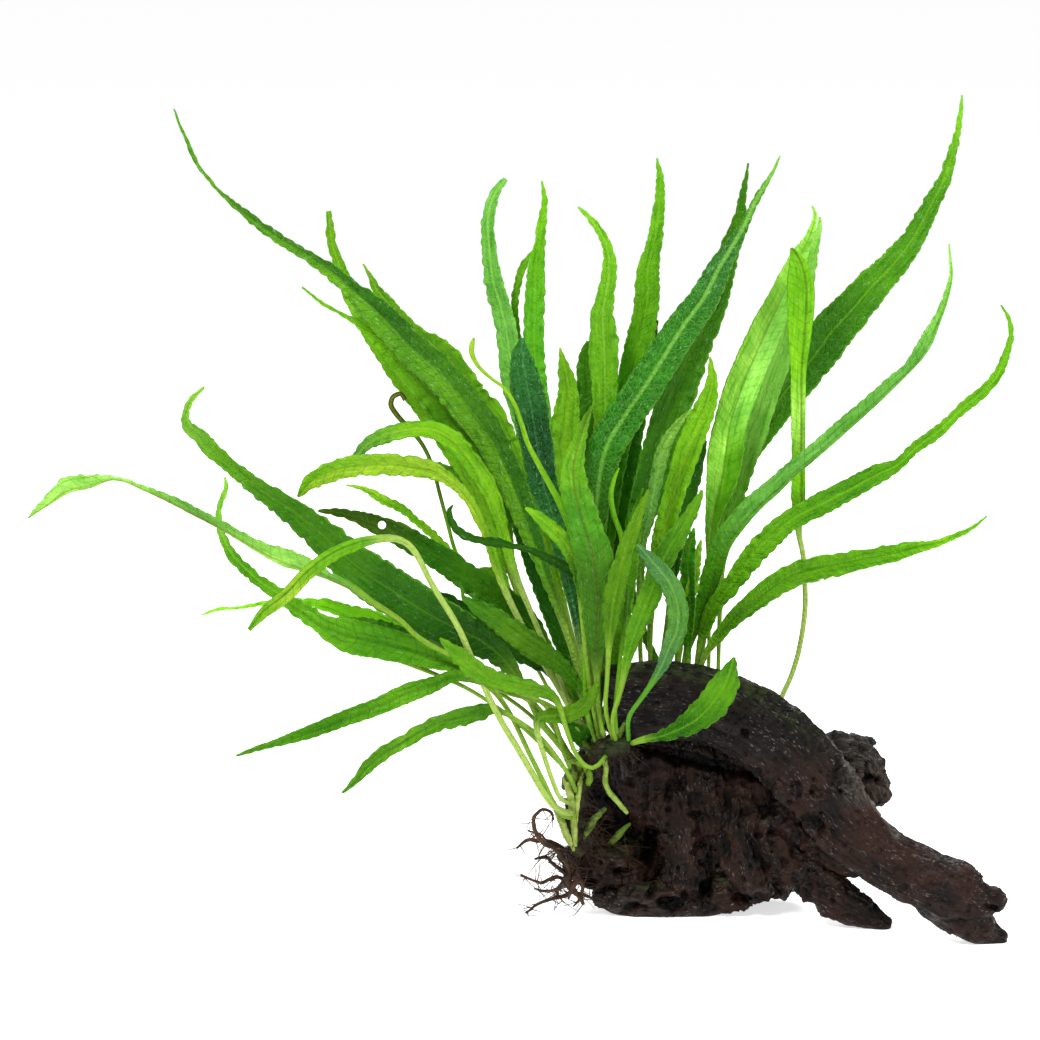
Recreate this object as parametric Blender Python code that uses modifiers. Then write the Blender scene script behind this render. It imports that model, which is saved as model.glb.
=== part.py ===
"""Java fern growing on a piece of driftwood, modelled in metres with +Z up.

The origin is on the surface that the wood rests on, under the middle of the trunk. X runs along the
wood towards the tip of its long limb, and Y runs away from the side that is seen first.

Routes are laid out as they look from that side. A route point is (across, down) in pixels of a
1040-pixel picture taken from VIEW_TARGET's front, with PIXEL as the real size of one pixel, and
seen_at turns it into a point in space. Widths, depths and radii are real millimetres.
"""

import math
from collections import namedtuple

import bmesh
import bpy
from mathutils import Matrix, Vector

MM = 0.001
GAP = 0.3 * MM

# The viewpoint that the picture places refer to
VIEW_TARGET = Vector((-70, 0, 140)) * MM
VIEW_DISTANCE = 1500 * MM
VIEW_TILT = math.radians(10)
PIXEL = 0.35 * MM
PICTURE_MIDDLE = 520

# How the fronds fan out in depth
NECK = (620, 730)
NECK_SPREAD = 28
SPREAD_PER_MM = 0.30
SLAB_LEFT = (600, 690)
SLAB_RIGHT = (790, 700)
COVER_FULL = 12
COVER_NONE = 70
FRONT_OFFSET = -14
BACK_OFFSET = 27
BACK_SQUEEZE = 0.7
SQUEEZE_EDGE = (604, 640)
LOW_OFFSET = -10
LOW_DOWN = (750, 815)
LOW_ACROSS = (470, 540)

# A frond's section
BLADE_THICKNESS = 1.0
STALK_THICKENING = 0.6
STALK_WIDTH = 1.8
SECTION_SPACING = 17
SECTION_TURN = math.radians(34)
FEWEST_SECTIONS = 6
ROUTE_STEPS = 10

# How a stalk leaves the rhizome: shares of the frond's length, and gaps to the rhizome in mm
FOOT_SHARE = 0.04
BASE_BLEND = 0.14
CLEAR_SHARE = 0.5
BASE_GAP = 0.36
CLEAR_GAP = 0.48

# The driftwood
WOOD_VOXEL = 2.6
WOOD_TRIANGLES = 2300
WOOD_SIDES = 12
WOOD_STEPS = 3
WOOD_SMOOTHING = 3
BALL_SHARE = 0.98

# Tubes
RHIZOME_SIDES = 8
ROOT_SIDES = 6
TUBE_STEPS = 2
WELD = 0.02 * MM

Frond = namedtuple("Frond", "name side layer sway route")
LEFT, FRONT, BACK = "left", "front", "back"

FRONDS = [
    Frond("frond_arching_lime", LEFT, -0.96, 0, [
        (573, 849, 2.3), (565, 834, 2.3), (553, 813, 2.3), (541, 789, 2.3), (521, 754, 2.3),
        (499, 717, 2.2), (477, 671, 2.1), (458, 627, 2.1), (433, 586, 2.0), (411, 547, 2.2),
        (397, 539, 2.4), (379, 539, 3.0), (359, 544, 4.2), (335, 554, 5.0), (311, 571, 5.2),
        (287, 596, 5.0), (265, 613, 4.2), (249, 630, 1.5)]),
    Frond("frond_left_broad_dark", LEFT, -0.52, 0, [
        (592, 808, 2.4), (586, 784, 2.4), (573, 762, 2.4), (559, 744, 2.4), (541, 722, 2.4),
        (522, 685, 3.0), (500, 655, 8.0), (475, 637, 13.0), (453, 627, 16.0), (428, 613, 17.0),
        (400, 595, 17.0), (371, 576, 17.0), (347, 557, 14.5), (325, 536, 12.3), (306, 521, 10.4),
        (284, 505, 8.4), (262, 490, 6.9), (243, 475, 5.8), (226, 461, 5.2), (211, 447, 5.6),
        (199, 434, 5.0), (187, 424, 3.4), (186, 414, 2.0), (191, 400, 1.8), (204, 387, 0.8)]),
    Frond("frond_low_left_upper", LEFT, -0.76, 0, [
        (568, 848, 1.8), (561, 828, 1.8), (548, 792, 1.8), (530, 755, 1.8), (506, 707, 1.8),
        (488, 686, 2.2), (467, 678, 2.8), (451, 677, 3.8), (433, 684, 5.4), (406, 694, 6.6),
        (379, 706, 5.8), (348, 717, 5.2), (313, 731, 4.6), (289, 739, 3.4), (270, 745, 2.2),
        (253, 750, 1.6), (236, 756, 0.6)]),
    Frond("frond_low_left_lower", LEFT, -0.86, 0, [
        (578, 800, 1.6), (570, 778, 1.6), (555, 755, 1.6), (540, 737, 1.6), (520, 722, 1.6),
        (504, 713, 2.0), (492, 709, 4.2), (480, 711, 6.4), (461, 716, 7.0), (434, 724, 6.2),
        (403, 742, 5.4), (382, 754, 5.6), (365, 769, 4.6), (354, 782, 2.6), (342, 793, 0.8)]),
    Frond("frond_low_left_wide", LEFT, -0.62, 0, [
        (602, 768, 1.6), (590, 745, 1.6), (571, 722, 1.6), (547, 704, 1.6), (505, 692, 1.6),
        (480, 677, 2.0), (458, 668, 3.4), (440, 661, 6.0), (410, 650, 9.4), (382, 643, 10.8),
        (348, 636, 11.6), (327, 628, 8.0), (312, 619, 4.0), (302, 612, 0.8)]),
    Frond("frond_left_pale_long", LEFT, -0.71, 15, [
        (576, 796, 1.6), (570, 776, 1.6), (563, 754, 1.6), (558, 732, 1.6), (545, 705, 1.7),
        (515, 690, 1.7), (480, 670, 1.7), (450, 655, 1.7), (418, 637, 1.8), (400, 620, 1.8),
        (371, 601, 2.2), (352, 587, 2.6), (328, 575, 3.2), (306, 564, 5.5), (287, 557, 6.8),
        (265, 548, 5.0), (243, 537, 3.6), (219, 523, 3.4), (194, 511, 3.2), (170, 499, 3.0),
        (146, 489, 2.0), (124, 480, 1.5), (110, 478, 2.0), (88, 481, 5.2), (68, 484, 6.3),
        (49, 499, 4.0), (28, 518, 0.6)]),
    Frond("frond_left_light_short", LEFT, -1.0, 0, [
        (598, 790, 1.6), (590, 773, 1.6), (576, 754, 1.6), (565, 725, 1.8), (558, 703, 2.5),
        (545, 691, 5.0), (513, 683, 6.5), (489, 676, 7.0), (472, 666, 7.0), (455, 651, 5.0),
        (440, 638, 0.8)]),
    Frond("frond_left_serrated", LEFT, -0.58, 0, [
        (594, 750, 1.6), (589, 720, 1.8), (580, 690, 3.0), (559, 664, 6.0), (537, 649, 8.0),
        (516, 634, 8.0), (494, 617, 7.0), (474, 605, 4.5), (464, 598, 1.8), (461, 586, 0.8)]),
    Frond("frond_left_slender_hooked", LEFT, -0.30, 0, [
        (584, 800, 1.5), (560, 765, 1.5), (520, 725, 1.5), (470, 690, 1.5), (420, 668, 1.8),
        (380, 652, 3.0), (345, 635, 5.5), (325, 623, 6.6), (311, 615, 6.8), (294, 604, 6.0),
        (277, 592, 4.8), (262, 582, 4.4), (245, 567, 4.2), (231, 551, 3.6), (222, 532, 2.8),
        (219, 516, 2.2), (220, 504, 1.8), (226, 487, 1.4), (225, 477, 0.6)]),
    Frond("frond_left_wavy_light", LEFT, -0.15, 0, [
        (588, 796, 1.5), (565, 755, 1.5), (530, 715, 1.5), (480, 680, 1.6), (440, 655, 2.5),
        (410, 638, 4.0), (388, 625, 5.5), (367, 616, 5.5), (345, 611, 5.0), (325, 605, 4.5),
        (306, 602, 2.8), (282, 601, 1.8), (262, 603, 1.6), (238, 608, 1.3), (219, 609, 1.3),
        (202, 615, 0.6)]),
    Frond("frond_left_shaded", LEFT, -0.40, 0, [
        (586, 796, 1.5), (566, 748, 1.6), (535, 705, 2.0), (500, 683, 4.0), (460, 664, 8.0),
        (430, 650, 9.0), (400, 637, 8.0), (375, 627, 6.0), (355, 621, 3.0), (338, 619, 0.8)]),
    Frond("frond_left_lime_blunt", LEFT, -0.42, 0, [
        (593, 768, 1.6), (570, 710, 1.8), (530, 640, 2.0), (505, 590, 2.5), (493, 555, 3.2),
        (482, 525, 3.5), (470, 502, 3.5), (452, 482, 4.5), (432, 470, 6.5), (400, 464, 8.0),
        (371, 464, 8.0), (352, 466, 8.0), (330, 472, 7.5), (311, 482, 6.0), (298, 497, 1.2)]),
    Frond("frond_left_lime_looped", LEFT, -0.34, 0, [
        (598, 758, 1.6), (565, 690, 1.8), (530, 610, 2.0), (510, 560, 3.0), (497, 510, 5.0),
        (485, 482, 6.0), (470, 461, 6.6), (455, 443, 6.8), (438, 432, 6.0), (420, 429, 5.3),
        (400, 431, 5.2), (383, 436, 5.0), (369, 443, 4.2), (357, 455, 2.8), (350, 463, 0.8)]),
    Frond("frond_fiddlehead", LEFT, -0.06, 0, [
        (594, 752, 1.3), (560, 690, 1.4), (510, 620, 1.4), (470, 580, 1.4), (455, 550, 1.4),
        (448, 525, 1.4), (440, 495, 1.4), (432, 465, 1.4), (422, 444, 1.5), (408, 427, 1.7),
        (397, 415, 1.9), (391, 405, 1.9), (393, 397, 1.8), (401, 394, 1.7), (405, 400, 1.5)]),
    Frond("frond_left_hole_bitten", LEFT, -0.24, 0, [
        (590, 756, 1.6), (574, 705, 1.8), (552, 658, 3.0), (532, 627, 7.0), (516, 612, 9.5),
        (496, 597, 10.0), (472, 580, 9.6), (445, 561, 9.0), (416, 544, 8.4), (392, 531, 7.6),
        (371, 522, 6.0), (352, 516, 4.0), (333, 512, 2.4), (318, 511, 1.0)]),
    Frond("frond_left_thin_lime", LEFT, -0.02, 0, [
        (590, 758, 1.4), (560, 710, 1.4), (520, 640, 1.4), (480, 590, 1.6), (458, 560, 2.4),
        (445, 548, 3.0), (430, 532, 3.0), (415, 520, 2.6), (400, 507, 3.0), (379, 497, 3.0),
        (364, 489, 1.8), (346, 485, 0.6)]),
    Frond("frond_left_under_dark", LEFT, -0.12, 0, [
        (596, 752, 1.5), (580, 710, 2.0), (550, 670, 5.0), (516, 649, 7.0), (477, 622, 8.0),
        (450, 604, 7.0), (428, 591, 3.0), (415, 585, 1.0)]),
    Frond("frond_wavy_twig", LEFT, -0.56, 0, [
        (604, 742, 1.4), (600, 700, 1.5), (595, 640, 1.8), (588, 600, 2.6), (579, 580, 3.5),
        (567, 568, 3.5), (550, 559, 3.3), (530, 550, 2.6), (511, 546, 2.2), (496, 542, 3.4),
        (477, 540, 2.4), (462, 534, 3.0), (452, 523, 2.6), (449, 511, 1.5), (453, 505, 0.7)]),
    Frond("frond_tallest_left", LEFT, -0.28, 0, [
        (598, 752, 1.8), (590, 720, 1.8), (575, 660, 2.0), (555, 600, 3.0), (540, 560, 5.5),
        (522, 510, 9.0), (505, 468, 11.0), (484, 428, 12.0), (471, 411, 12.5), (457, 393, 12.5),
        (437, 369, 12.5), (417, 353, 12.0), (401, 336, 11.5), (385, 319, 10.6), (368, 303, 9.5),
        (352, 289, 6.8), (335, 274, 5.4), (312, 258, 4.2), (296, 248, 3.8), (271, 233, 3.9),
        (250, 218, 3.2), (230, 201, 2.0), (218, 190, 1.2), (208, 178, 1.2), (198, 165, 1.1),
        (192, 153, 1.4), (187, 141, 1.2), (180, 126, 0.9), (174, 109, 0.6)]),
    Frond("frond_lime_hooked", LEFT, 0.04, 0, [
        (592, 745, 1.8), (560, 690, 2.0), (520, 620, 2.5), (505, 590, 3.5), (497, 560, 4.5),
        (490, 535, 5.5), (482, 500, 6.5), (470, 475, 7.5), (455, 450, 8.5), (439, 425, 9.0),
        (423, 401, 9.5), (398, 367, 9.5), (375, 335, 8.0), (356, 305, 6.0), (347, 287, 5.0),
        (338, 262, 3.6), (332, 245, 3.0), (330, 230, 2.8), (328, 211, 1.6)]),
    Frond("frond_behind_tallest", LEFT, 0.12, 0, [
        (597, 740, 1.6), (585, 690, 1.8), (565, 610, 2.4), (548, 550, 4.5), (530, 500, 7.0),
        (510, 450, 8.5), (492, 414, 9.0), (473, 396, 10.0), (453, 365, 10.0), (435, 347, 9.0),
        (419, 336, 6.5), (400, 318, 6.0), (386, 300, 4.5), (378, 290, 3.0), (371, 277, 1.6),
        (363, 264, 0.6)]),
    Frond("frond_curled_tail", LEFT, -0.20, 0, [
        (590, 750, 1.6), (560, 690, 1.6), (530, 630, 1.6), (518, 593, 1.6), (513, 565, 1.8),
        (508, 535, 3.5), (501, 505, 7.5), (490, 478, 10.0), (475, 450, 11.5), (457, 425, 12.0),
        (435, 397, 11.5), (410, 367, 10.5), (386, 340, 9.0), (366, 326, 5.5), (355, 321, 2.6),
        (346, 317, 1.6), (338, 312, 1.2), (325, 305, 1.3), (313, 296, 0.9), (302, 287, 0.6)]),
    Frond("frond_grey_blunt", LEFT, 0.20, 0, [
        (600, 735, 1.6), (590, 680, 1.8), (570, 600, 2.5), (550, 520, 6.0), (530, 440, 8.5),
        (515, 380, 8.5), (506, 328, 7.5), (500, 304, 7.0), (494, 284, 6.5), (491, 265, 5.5),
        (489, 245, 5.0), (488, 226, 4.5), (490, 207, 4.0), (496, 192, 3.5), (506, 179, 2.0)]),
    Frond("frond_centre_left_upright", LEFT, 0.28, 0, [
        (601, 735, 1.6), (592, 670, 1.8), (570, 560, 3.0), (550, 470, 6.0), (538, 391, 7.0),
        (534, 338, 7.2), (534, 308, 7.0), (535, 279, 6.6), (536, 262, 6.0), (539, 246, 4.2),
        (541, 230, 3.2), (543, 216, 2.6), (544, 197, 1.8), (542, 181, 0.7)]),
    Frond("frond_centre_forward_curve", LEFT, 0.38, 0, [
        (603, 730, 1.6), (600, 650, 1.8), (600, 560, 3.0), (603, 480, 6.0), (606, 430, 8.0),
        (605, 381, 9.5), (604, 345, 10.5), (603, 313, 8.0), (606, 294, 6.0), (609, 275, 5.0),
        (609, 255, 4.0), (603, 236, 3.4), (591, 219, 2.4), (578, 207, 0.6)]),
    Frond("frond_centre_upright", LEFT, 0.56, 0, [
        (603, 728, 1.6), (604, 650, 1.8), (608, 560, 3.0), (615, 470, 7.0), (625, 410, 9.0),
        (634, 367, 10.0), (640, 342, 10.0), (644, 318, 9.5), (647, 294, 9.0), (647, 270, 8.0),
        (652, 250, 6.0), (656, 231, 5.0), (659, 207, 4.0), (660, 178, 2.8), (657, 158, 0.6)]),
    Frond("frond_narrow_whip", LEFT, -0.66, 0, [
        (589, 750, 1.6), (585, 690, 1.6), (583, 600, 1.8), (573, 540, 2.0), (565, 515, 2.4),
        (555, 494, 2.2), (538, 463, 1.9), (528, 444, 1.8), (521, 422, 1.6), (514, 403, 1.4),
        (504, 388, 1.2), (492, 379, 1.2), (479, 367, 1.4), (472, 354, 1.8), (472, 345, 1.8),
        (474, 338, 0.8)]),
    Frond("frond_front_lime_centre", LEFT, -0.80, 0, [
        (597, 735, 1.8), (597, 680, 2.0), (596, 642, 6.0), (597, 615, 9.8), (597, 586, 13.0),
        (593, 554, 13.5), (586, 530, 12.0), (579, 506, 11.0), (574, 484, 9.5), (574, 462, 7.0),
        (579, 443, 4.5), (584, 425, 3.0), (592, 406, 0.7)]),
    Frond("frond_front_lime_left", LEFT, -0.73, 0, [
        (599, 742, 1.5), (592, 700, 1.6), (586, 655, 1.8), (582, 610, 2.2), (580, 585, 3.2),
        (575, 563, 4.6), (566, 545, 5.4), (554, 531, 5.2), (540, 518, 4.0), (525, 508, 0.9)]),
    Frond("frond_centre_blistered", LEFT, -0.46, 0, [
        (597, 750, 1.8), (588, 700, 2.0), (582, 650, 2.4), (575, 610, 3.2), (567, 572, 4.5),
        (557, 529, 7.0), (544, 485, 10.0), (540, 463, 10.6), (535, 430, 11.6), (530, 400, 12.0),
        (525, 372, 10.0), (522, 352, 6.2), (522, 338, 1.2)]),
    Frond("frond_centre_lime_tip", LEFT, 0.10, 0, [
        (600, 742, 1.5), (595, 670, 1.8), (580, 560, 3.0), (567, 480, 8.0), (565, 444, 10.0),
        (566, 415, 9.5), (568, 391, 7.0), (565, 371, 5.0), (562, 358, 2.2), (560, 348, 0.7)]),
    Frond("frond_centre_dark", LEFT, 0.48, 0, [
        (600, 724, 1.6), (600, 660, 1.8), (598, 600, 3.0), (597, 540, 7.0), (595, 490, 9.0),
        (591, 420, 9.0), (588, 391, 8.0), (586, 367, 6.0), (587, 351, 4.0), (588, 341, 1.4)]),
    Frond("frond_right_of_centre_dark", LEFT, 0.32, 0, [
        (601, 745, 1.8), (602, 690, 2.0), (612, 620, 3.0), (631, 550, 7.5), (645, 505, 11.0),
        (655, 465, 12.5), (666, 425, 13.0), (679, 385, 13.0), (694, 345, 12.5), (712, 305, 10.5),
        (726, 260, 8.0), (738, 222, 4.6), (744, 190, 2.4), (748, 163, 0.7)]),
    Frond("frond_right_of_centre_bright", LEFT, 0.24, 0, [
        (602, 750, 1.8), (600, 690, 2.0), (597, 600, 3.0), (595, 540, 6.0), (598, 490, 10.0),
        (606, 449, 12.6), (624, 417, 13.0), (644, 388, 13.0), (664, 357, 12.4), (684, 325, 11.6),
        (702, 301, 10.6), (718, 270, 8.4), (733, 245, 5.4), (745, 224, 3.2), (752, 208, 2.6),
        (758, 196, 2.2), (767, 182, 1.5), (774, 170, 1.0), (780, 156, 0.5)]),
    Frond("frond_right_lime_short", BACK, 0.12, 0, [
        (652, 705, 1.6), (650, 640, 2.0), (653, 580, 4.0), (660, 545, 6.0), (672, 500, 7.5),
        (688, 451, 8.7), (697, 427, 8.5), (707, 403, 7.0), (712, 382, 4.0), (711, 366, 1.8),
        (710, 357, 0.7)]),
    Frond("frond_right_lime_slim", BACK, -0.06, 0, [
        (643, 708, 1.5), (640, 640, 1.8), (640, 590, 2.5), (642, 545, 3.5), (650, 510, 4.0),
        (657, 478, 4.5), (661, 459, 5.0), (668, 439, 4.0), (680, 422, 2.5), (691, 409, 0.7)]),
    Frond("frond_front_lime_right", FRONT, -0.74, 0, [
        (598, 727, 1.5), (605, 700, 1.6), (608, 665, 1.7), (609, 645, 2.4), (610, 628, 4.5),
        (612, 611, 6.5), (615, 594, 7.4), (619, 576, 7.2), (623, 559, 6.2), (628, 541, 5.4),
        (634, 528, 4.3), (639, 515, 3.2), (644, 502, 2.2), (648, 490, 0.9)]),
    Frond("frond_right_dark_short", BACK, 0.42, 0, [
        (662, 708, 1.6), (662, 660, 1.6), (667, 620, 1.6), (672, 580, 3.0), (676, 540, 7.0),
        (684, 495, 9.0), (694, 465, 7.0), (705, 440, 2.0)]),
    Frond("frond_pale_underside", BACK, 0.60, 0, [
        (709, 715, 1.5), (709, 666, 1.4), (709, 610, 1.4), (709, 560, 2.0), (711, 535, 4.0),
        (714, 513, 6.0), (721, 482, 11.0), (726, 450, 13.0), (730, 425, 12.0), (740, 393, 12.5),
        (751, 366, 12.5), (765, 334, 12.0), (784, 293, 9.5), (800, 255, 6.0), (808, 240, 3.5),
        (814, 223, 2.0), (815, 213, 1.2), (812, 206, 0.6)]),
    Frond("frond_pale_behind", BACK, 0.75, 0, [
        (718, 718, 1.5), (719, 640, 1.6), (723, 560, 2.5), (735, 500, 6.0), (755, 430, 9.0),
        (777, 360, 9.6), (795, 310, 8.5), (807, 275, 6.0), (813, 250, 3.6), (818, 232, 2.2),
        (820, 217, 0.8)]),
    Frond("frond_upright_folded", BACK, 0.50, 0, [
        (788, 716, 1.9), (785, 698, 1.9), (792, 676, 1.9), (798, 654, 1.9), (802, 634, 1.9),
        (805, 610, 2.0), (805, 586, 2.0), (803, 554, 2.0), (799, 535, 2.2), (798, 500, 5.0),
        (798, 470, 5.2), (798, 440, 5.2), (798, 400, 5.4), (798, 370, 5.8), (799, 340, 8.0),
        (800, 310, 9.8), (800, 285, 9.8), (798, 268, 7.5), (795, 256, 4.0), (791, 248, 1.0)]),
    Frond("frond_right_broad_dark", BACK, 0.95, 0, [
        (700, 712, 2.0), (702, 660, 2.0), (708, 600, 2.2), (718, 540, 2.4), (731, 490, 3.6),
        (744, 462, 6.5), (755, 440, 10.0), (768, 417, 12.5), (784, 393, 14.0), (803, 370, 15.0),
        (817, 352, 15.5), (832, 331, 15.5), (851, 311, 14.2), (871, 287, 12.8), (893, 264, 10.4),
        (913, 238, 8.5), (930, 207, 7.0), (945, 177, 5.0), (953, 150, 3.4), (958, 128, 2.2),
        (961, 108, 1.4), (962, 95, 0.7)]),
    Frond("frond_right_slender", BACK, 0.32, 0, [
        (680, 710, 1.9), (685, 659, 2.2), (690, 640, 3.5), (698, 616, 5.4), (708, 586, 6.8),
        (715, 562, 7.4), (722, 542, 7.4), (735, 524, 7.2), (755, 502, 6.6), (773, 487, 6.0),
        (790, 471, 5.4), (806, 458, 5.2), (840, 428, 5.4), (873, 399, 4.9), (893, 381, 4.2),
        (907, 369, 3.2), (918, 355, 4.2), (927, 340, 4.6), (935, 323, 3.4), (943, 305, 2.4),
        (948, 290, 1.8), (951, 275, 1.3), (950, 258, 1.0), (949, 244, 0.6)]),
    Frond("frond_right_long", BACK, 0.22, -20, [
        (694, 712, 1.9), (698, 660, 2.2), (704, 632, 4.0), (714, 607, 5.6), (733, 582, 6.6),
        (750, 559, 7.8), (770, 537, 8.2), (793, 519, 7.7), (820, 505, 8.1), (847, 491, 7.4),
        (880, 473, 6.5), (897, 465, 3.8), (917, 447, 4.0), (940, 430, 4.2), (960, 411, 3.9),
        (983, 392, 4.0), (997, 376, 3.4), (1006, 355, 2.6), (1011, 335, 2.0), (1008, 317, 1.4),
        (1001, 305, 0.6)]),
    Frond("frond_right_low", BACK, 0.12, -45, [
        (706, 714, 1.8), (700, 675, 1.8), (706, 654, 2.2), (718, 637, 4.5), (730, 622, 5.8),
        (743, 609, 6.4), (763, 593, 7.6), (787, 578, 8.6), (810, 570, 9.2), (840, 564, 8.0),
        (867, 558, 6.6), (890, 554, 6.0), (917, 547, 3.6), (933, 544, 2.2), (953, 537, 2.0),
        (973, 527, 1.4), (987, 516, 0.6)]),
    Frond("frond_right_spotted_dark", BACK, 0.02, 0, [
        (687, 710, 1.6), (688, 640, 3.0), (690, 600, 4.5), (688, 570, 5.5), (690, 545, 4.0),
        (694, 528, 1.0)]),
    Frond("frond_front_lime_leaning", FRONT, -0.79, 0, [
        (606, 742, 1.5), (612, 717, 1.6), (618, 700, 1.7), (624, 675, 2.4), (628, 655, 4.0),
        (635, 630, 6.0), (645, 605, 7.5), (655, 580, 8.0), (665, 555, 7.5), (680, 530, 6.5),
        (693, 508, 4.0), (702, 490, 1.0)]),
    Frond("frond_blue_drooping", FRONT, -0.92, 0, [
        (622, 733, 1.6), (627, 718, 1.6), (638, 703, 1.6), (652, 683, 2.2), (662, 665, 3.8),
        (669, 648, 5.4), (677, 631, 6.6), (679, 614, 7.2), (676, 597, 7.2), (670, 583, 6.8),
        (659, 569, 6.0), (648, 556, 4.2), (637, 544, 1.0)]),
    Frond("frond_on_the_wood", FRONT, -0.84, 12, [
        (630, 741, 1.8), (645, 739, 2.5), (660, 736, 3.3), (674, 731, 5.0), (696, 719, 9.0),
        (713, 702, 10.5), (725, 683, 9.5), (731, 668, 5.0), (734, 657, 1.4)]),
    Frond("frond_folded_over", LEFT, -0.93, 0, [
        (566, 815, 1.5), (556, 790, 1.6), (547, 765, 1.7), (537, 728, 2.4), (539, 718, 3.4),
        (551, 716, 5.0), (569, 714, 5.5), (584, 706, 5.0), (592, 695, 4.0), (598, 682, 1.6)]),
]

# Rhizome stretches: (across, down, depth, radius)
RHIZOME_LOWER = [
    (580, 852, -20, 2.4), (574, 832, -23, 3.0), (575, 803, -24, 3.2), (580, 776, -20, 3.3),
    (588, 757, -12, 3.3), (592, 742, -2, 3.2), (593, 732, 8, 3.1), (594, 726, 16, 3.0)]
RHIZOME_FRONT = [
    (596, 757, -21, 3.0), (604, 750, -26, 3.4), (616, 746, -30, 3.3), (630, 745, -32, 2.6)]
RHIZOME_BACK = [
    (599, 722, 23, 3.2), (612, 718, 29, 3.6), (640, 716, 32, 3.8), (680, 718, 33, 3.8),
    (720, 724, 33, 3.6), (760, 730, 31, 3.4), (792, 736, 28, 2.6)]
GREEN_SHOOT = [
    (604, 758, -30, 0.9), (606, 770, -30, 0.9), (605, 781, -28, 0.95), (609, 791, -26, 0.95),
    (617, 801, -24, 0.9), (627, 813, -22, 0.7)]

# Roots: the fat knot that they leave from, and then each root's own points
ROOT_KNOT = [(572, 868, -19, 2.6), (570, 880, -17, 3.0), (574, 893, -14, 2.6), (581, 901, -12, 1.6)]
ROOTS = [
    [(573, 870, -18, 1.0), (566, 852, -21, 0.9), (548, 841, -24, 0.8), (532, 840, -26, 0.7),
     (517, 848, -28, 0.4)],
    [(571, 872, -19, 0.8), (556, 850, -28, 0.8), (540, 838, -32, 0.8), (534, 828, -33, 0.75),
     (534, 817, -34, 0.7), (541, 809, -34, 0.6), (550, 812, -34, 0.5), (552, 820, -33, 0.4)],
    [(571, 878, -18, 0.9), (556, 866, -20, 0.7), (545, 858, -23, 0.6), (535, 860, -26, 0.4)],
    [(570, 882, -17, 0.9), (556, 877, -15, 0.7), (541, 883, -12, 0.6), (529, 880, -9, 0.5),
     (521, 876, -6, 0.4)],
    [(574, 890, -15, 0.9), (562, 896, -12, 0.8), (541, 904, -11, 0.6), (524, 914, -14, 0.4)],
    [(573, 884, -16, 0.8), (560, 888, -4, 0.7), (548, 892, 6, 0.6), (534, 888, 14, 0.4)],
]

# Driftwood strands: (across, down, depth, radius)
SLAB_FRONT = [
    (609, 700, -17, 12.6), (650, 699, -17, 13.0), (700, 704, -18, 13.0), (740, 719, -20, 13.0),
    (785, 750, -23, 13.0), (820, 789, -28, 12.0), (848, 828, -33, 10.8), (882, 856, -38, 10.2),
    (925, 878, -42, 10.4), (957, 893, -46, 11.4), (980, 899, -48, 8.4), (992, 898, -48, 5.0)]
SLAB_LOWER_TIP = [
    (940, 895, -44, 9.0), (966, 914, -46, 8.2), (986, 931, -44, 6.0), (998, 937, -44, 3.8)]
SLAB_BACK = [
    (609, 699, 7, 12.4), (660, 697, 8, 12.8), (710, 704, 7, 12.6), (750, 721, 5, 12.4),
    (790, 750, 1, 12.4), (824, 790, -6, 12.0), (852, 826, -14, 10.5), (886, 858, -24, 9.4),
    (926, 878, -32, 8.6), (952, 890, -38, 8.0), (970, 897, -42, 6.0)]
SLAB_WEB = [(800, 812, -12, 12.0), (828, 838, -18, 10.5), (853, 858, -26, 7.0)]
TRUNK_LEFT = [(655, 747, 0, 14.5), (656, 775, 0, 14.5), (664, 806, 4, 13.0), (662, 840, 14, 12.0)]
TRUNK_COLUMN = [(672, 800, -4, 12.0), (683, 840, -6, 9.5), (686, 870, -6, 9.5), (684, 900, -6, 8.0)]
TRUNK_MIDDLE = [
    (700, 745, 2, 16.0), (706, 790, 2, 17.5), (718, 830, 4, 16.5), (716, 870, 8, 15.0),
    (712, 902, 10, 12.0)]
TRUNK_RIGHT = [(750, 760, 0, 15.0), (757, 800, 0, 15.0), (770, 840, 4, 13.0), (778, 872, 8, 9.0)]
TRUNK_LOBE = [(742, 812, -10, 8.0), (742, 845, -14, 8.0), (750, 872, -14, 7.5), (755, 888, -12, 5.5)]
TRUNK_BACK = [
    (690, 760, 22, 14.0), (745, 790, 22, 14.0), (712, 830, 26, 13.0), (722, 868, 38, 10.0),
    (726, 885, 45, 6.5)]
TRUNK_LEFT_BACK = [(640, 765, 12, 10.0), (636, 810, 16, 11.0), (634, 850, 14, 10.0), (646, 880, 14, 8.0)]
TRUNK_SHADOW = [(626, 780, 12, 8.0), (608, 800, 12, 9.0), (603, 830, 9, 8.5), (610, 858, 4, 7.5)]
TRUNK_KNOB_ROOT = [(775, 762, 8, 12.5), (815, 768, 10, 11.0), (842, 772, 12, 9.5)]
SHORT_LIMB = [
    (765, 835, -10, 10.0), (790, 861, -15, 8.8), (815, 881, -20, 7.8), (845, 902, -25, 7.4),
    (866, 914, -26, 5.4), (883, 923, -27, 3.2)]
LEFT_BLOCK = [(574, 862, -6, 5.0), (590, 866, -6, 7.4), (612, 868, -4, 8.6), (640, 862, 4, 9.0)]
LEFT_FOOT = [
    (602, 898, -6, 4.0), (618, 900, -8, 5.8), (640, 900, -9, 6.6), (665, 899, -9, 6.6),
    (700, 898, -8, 7.0), (735, 892, -8, 7.0)]
BACK_KNOB = [(833, 754, 12, 8.5), (852, 757, 15, 7.5), (866, 774, 15, 7.5), (874, 793, 12, 5.6)]
BACK_KNOB_HORN = [(838, 748, 13, 6.5), (856, 745, 16, 4.5), (867, 743, 18, 2.2)]
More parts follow.
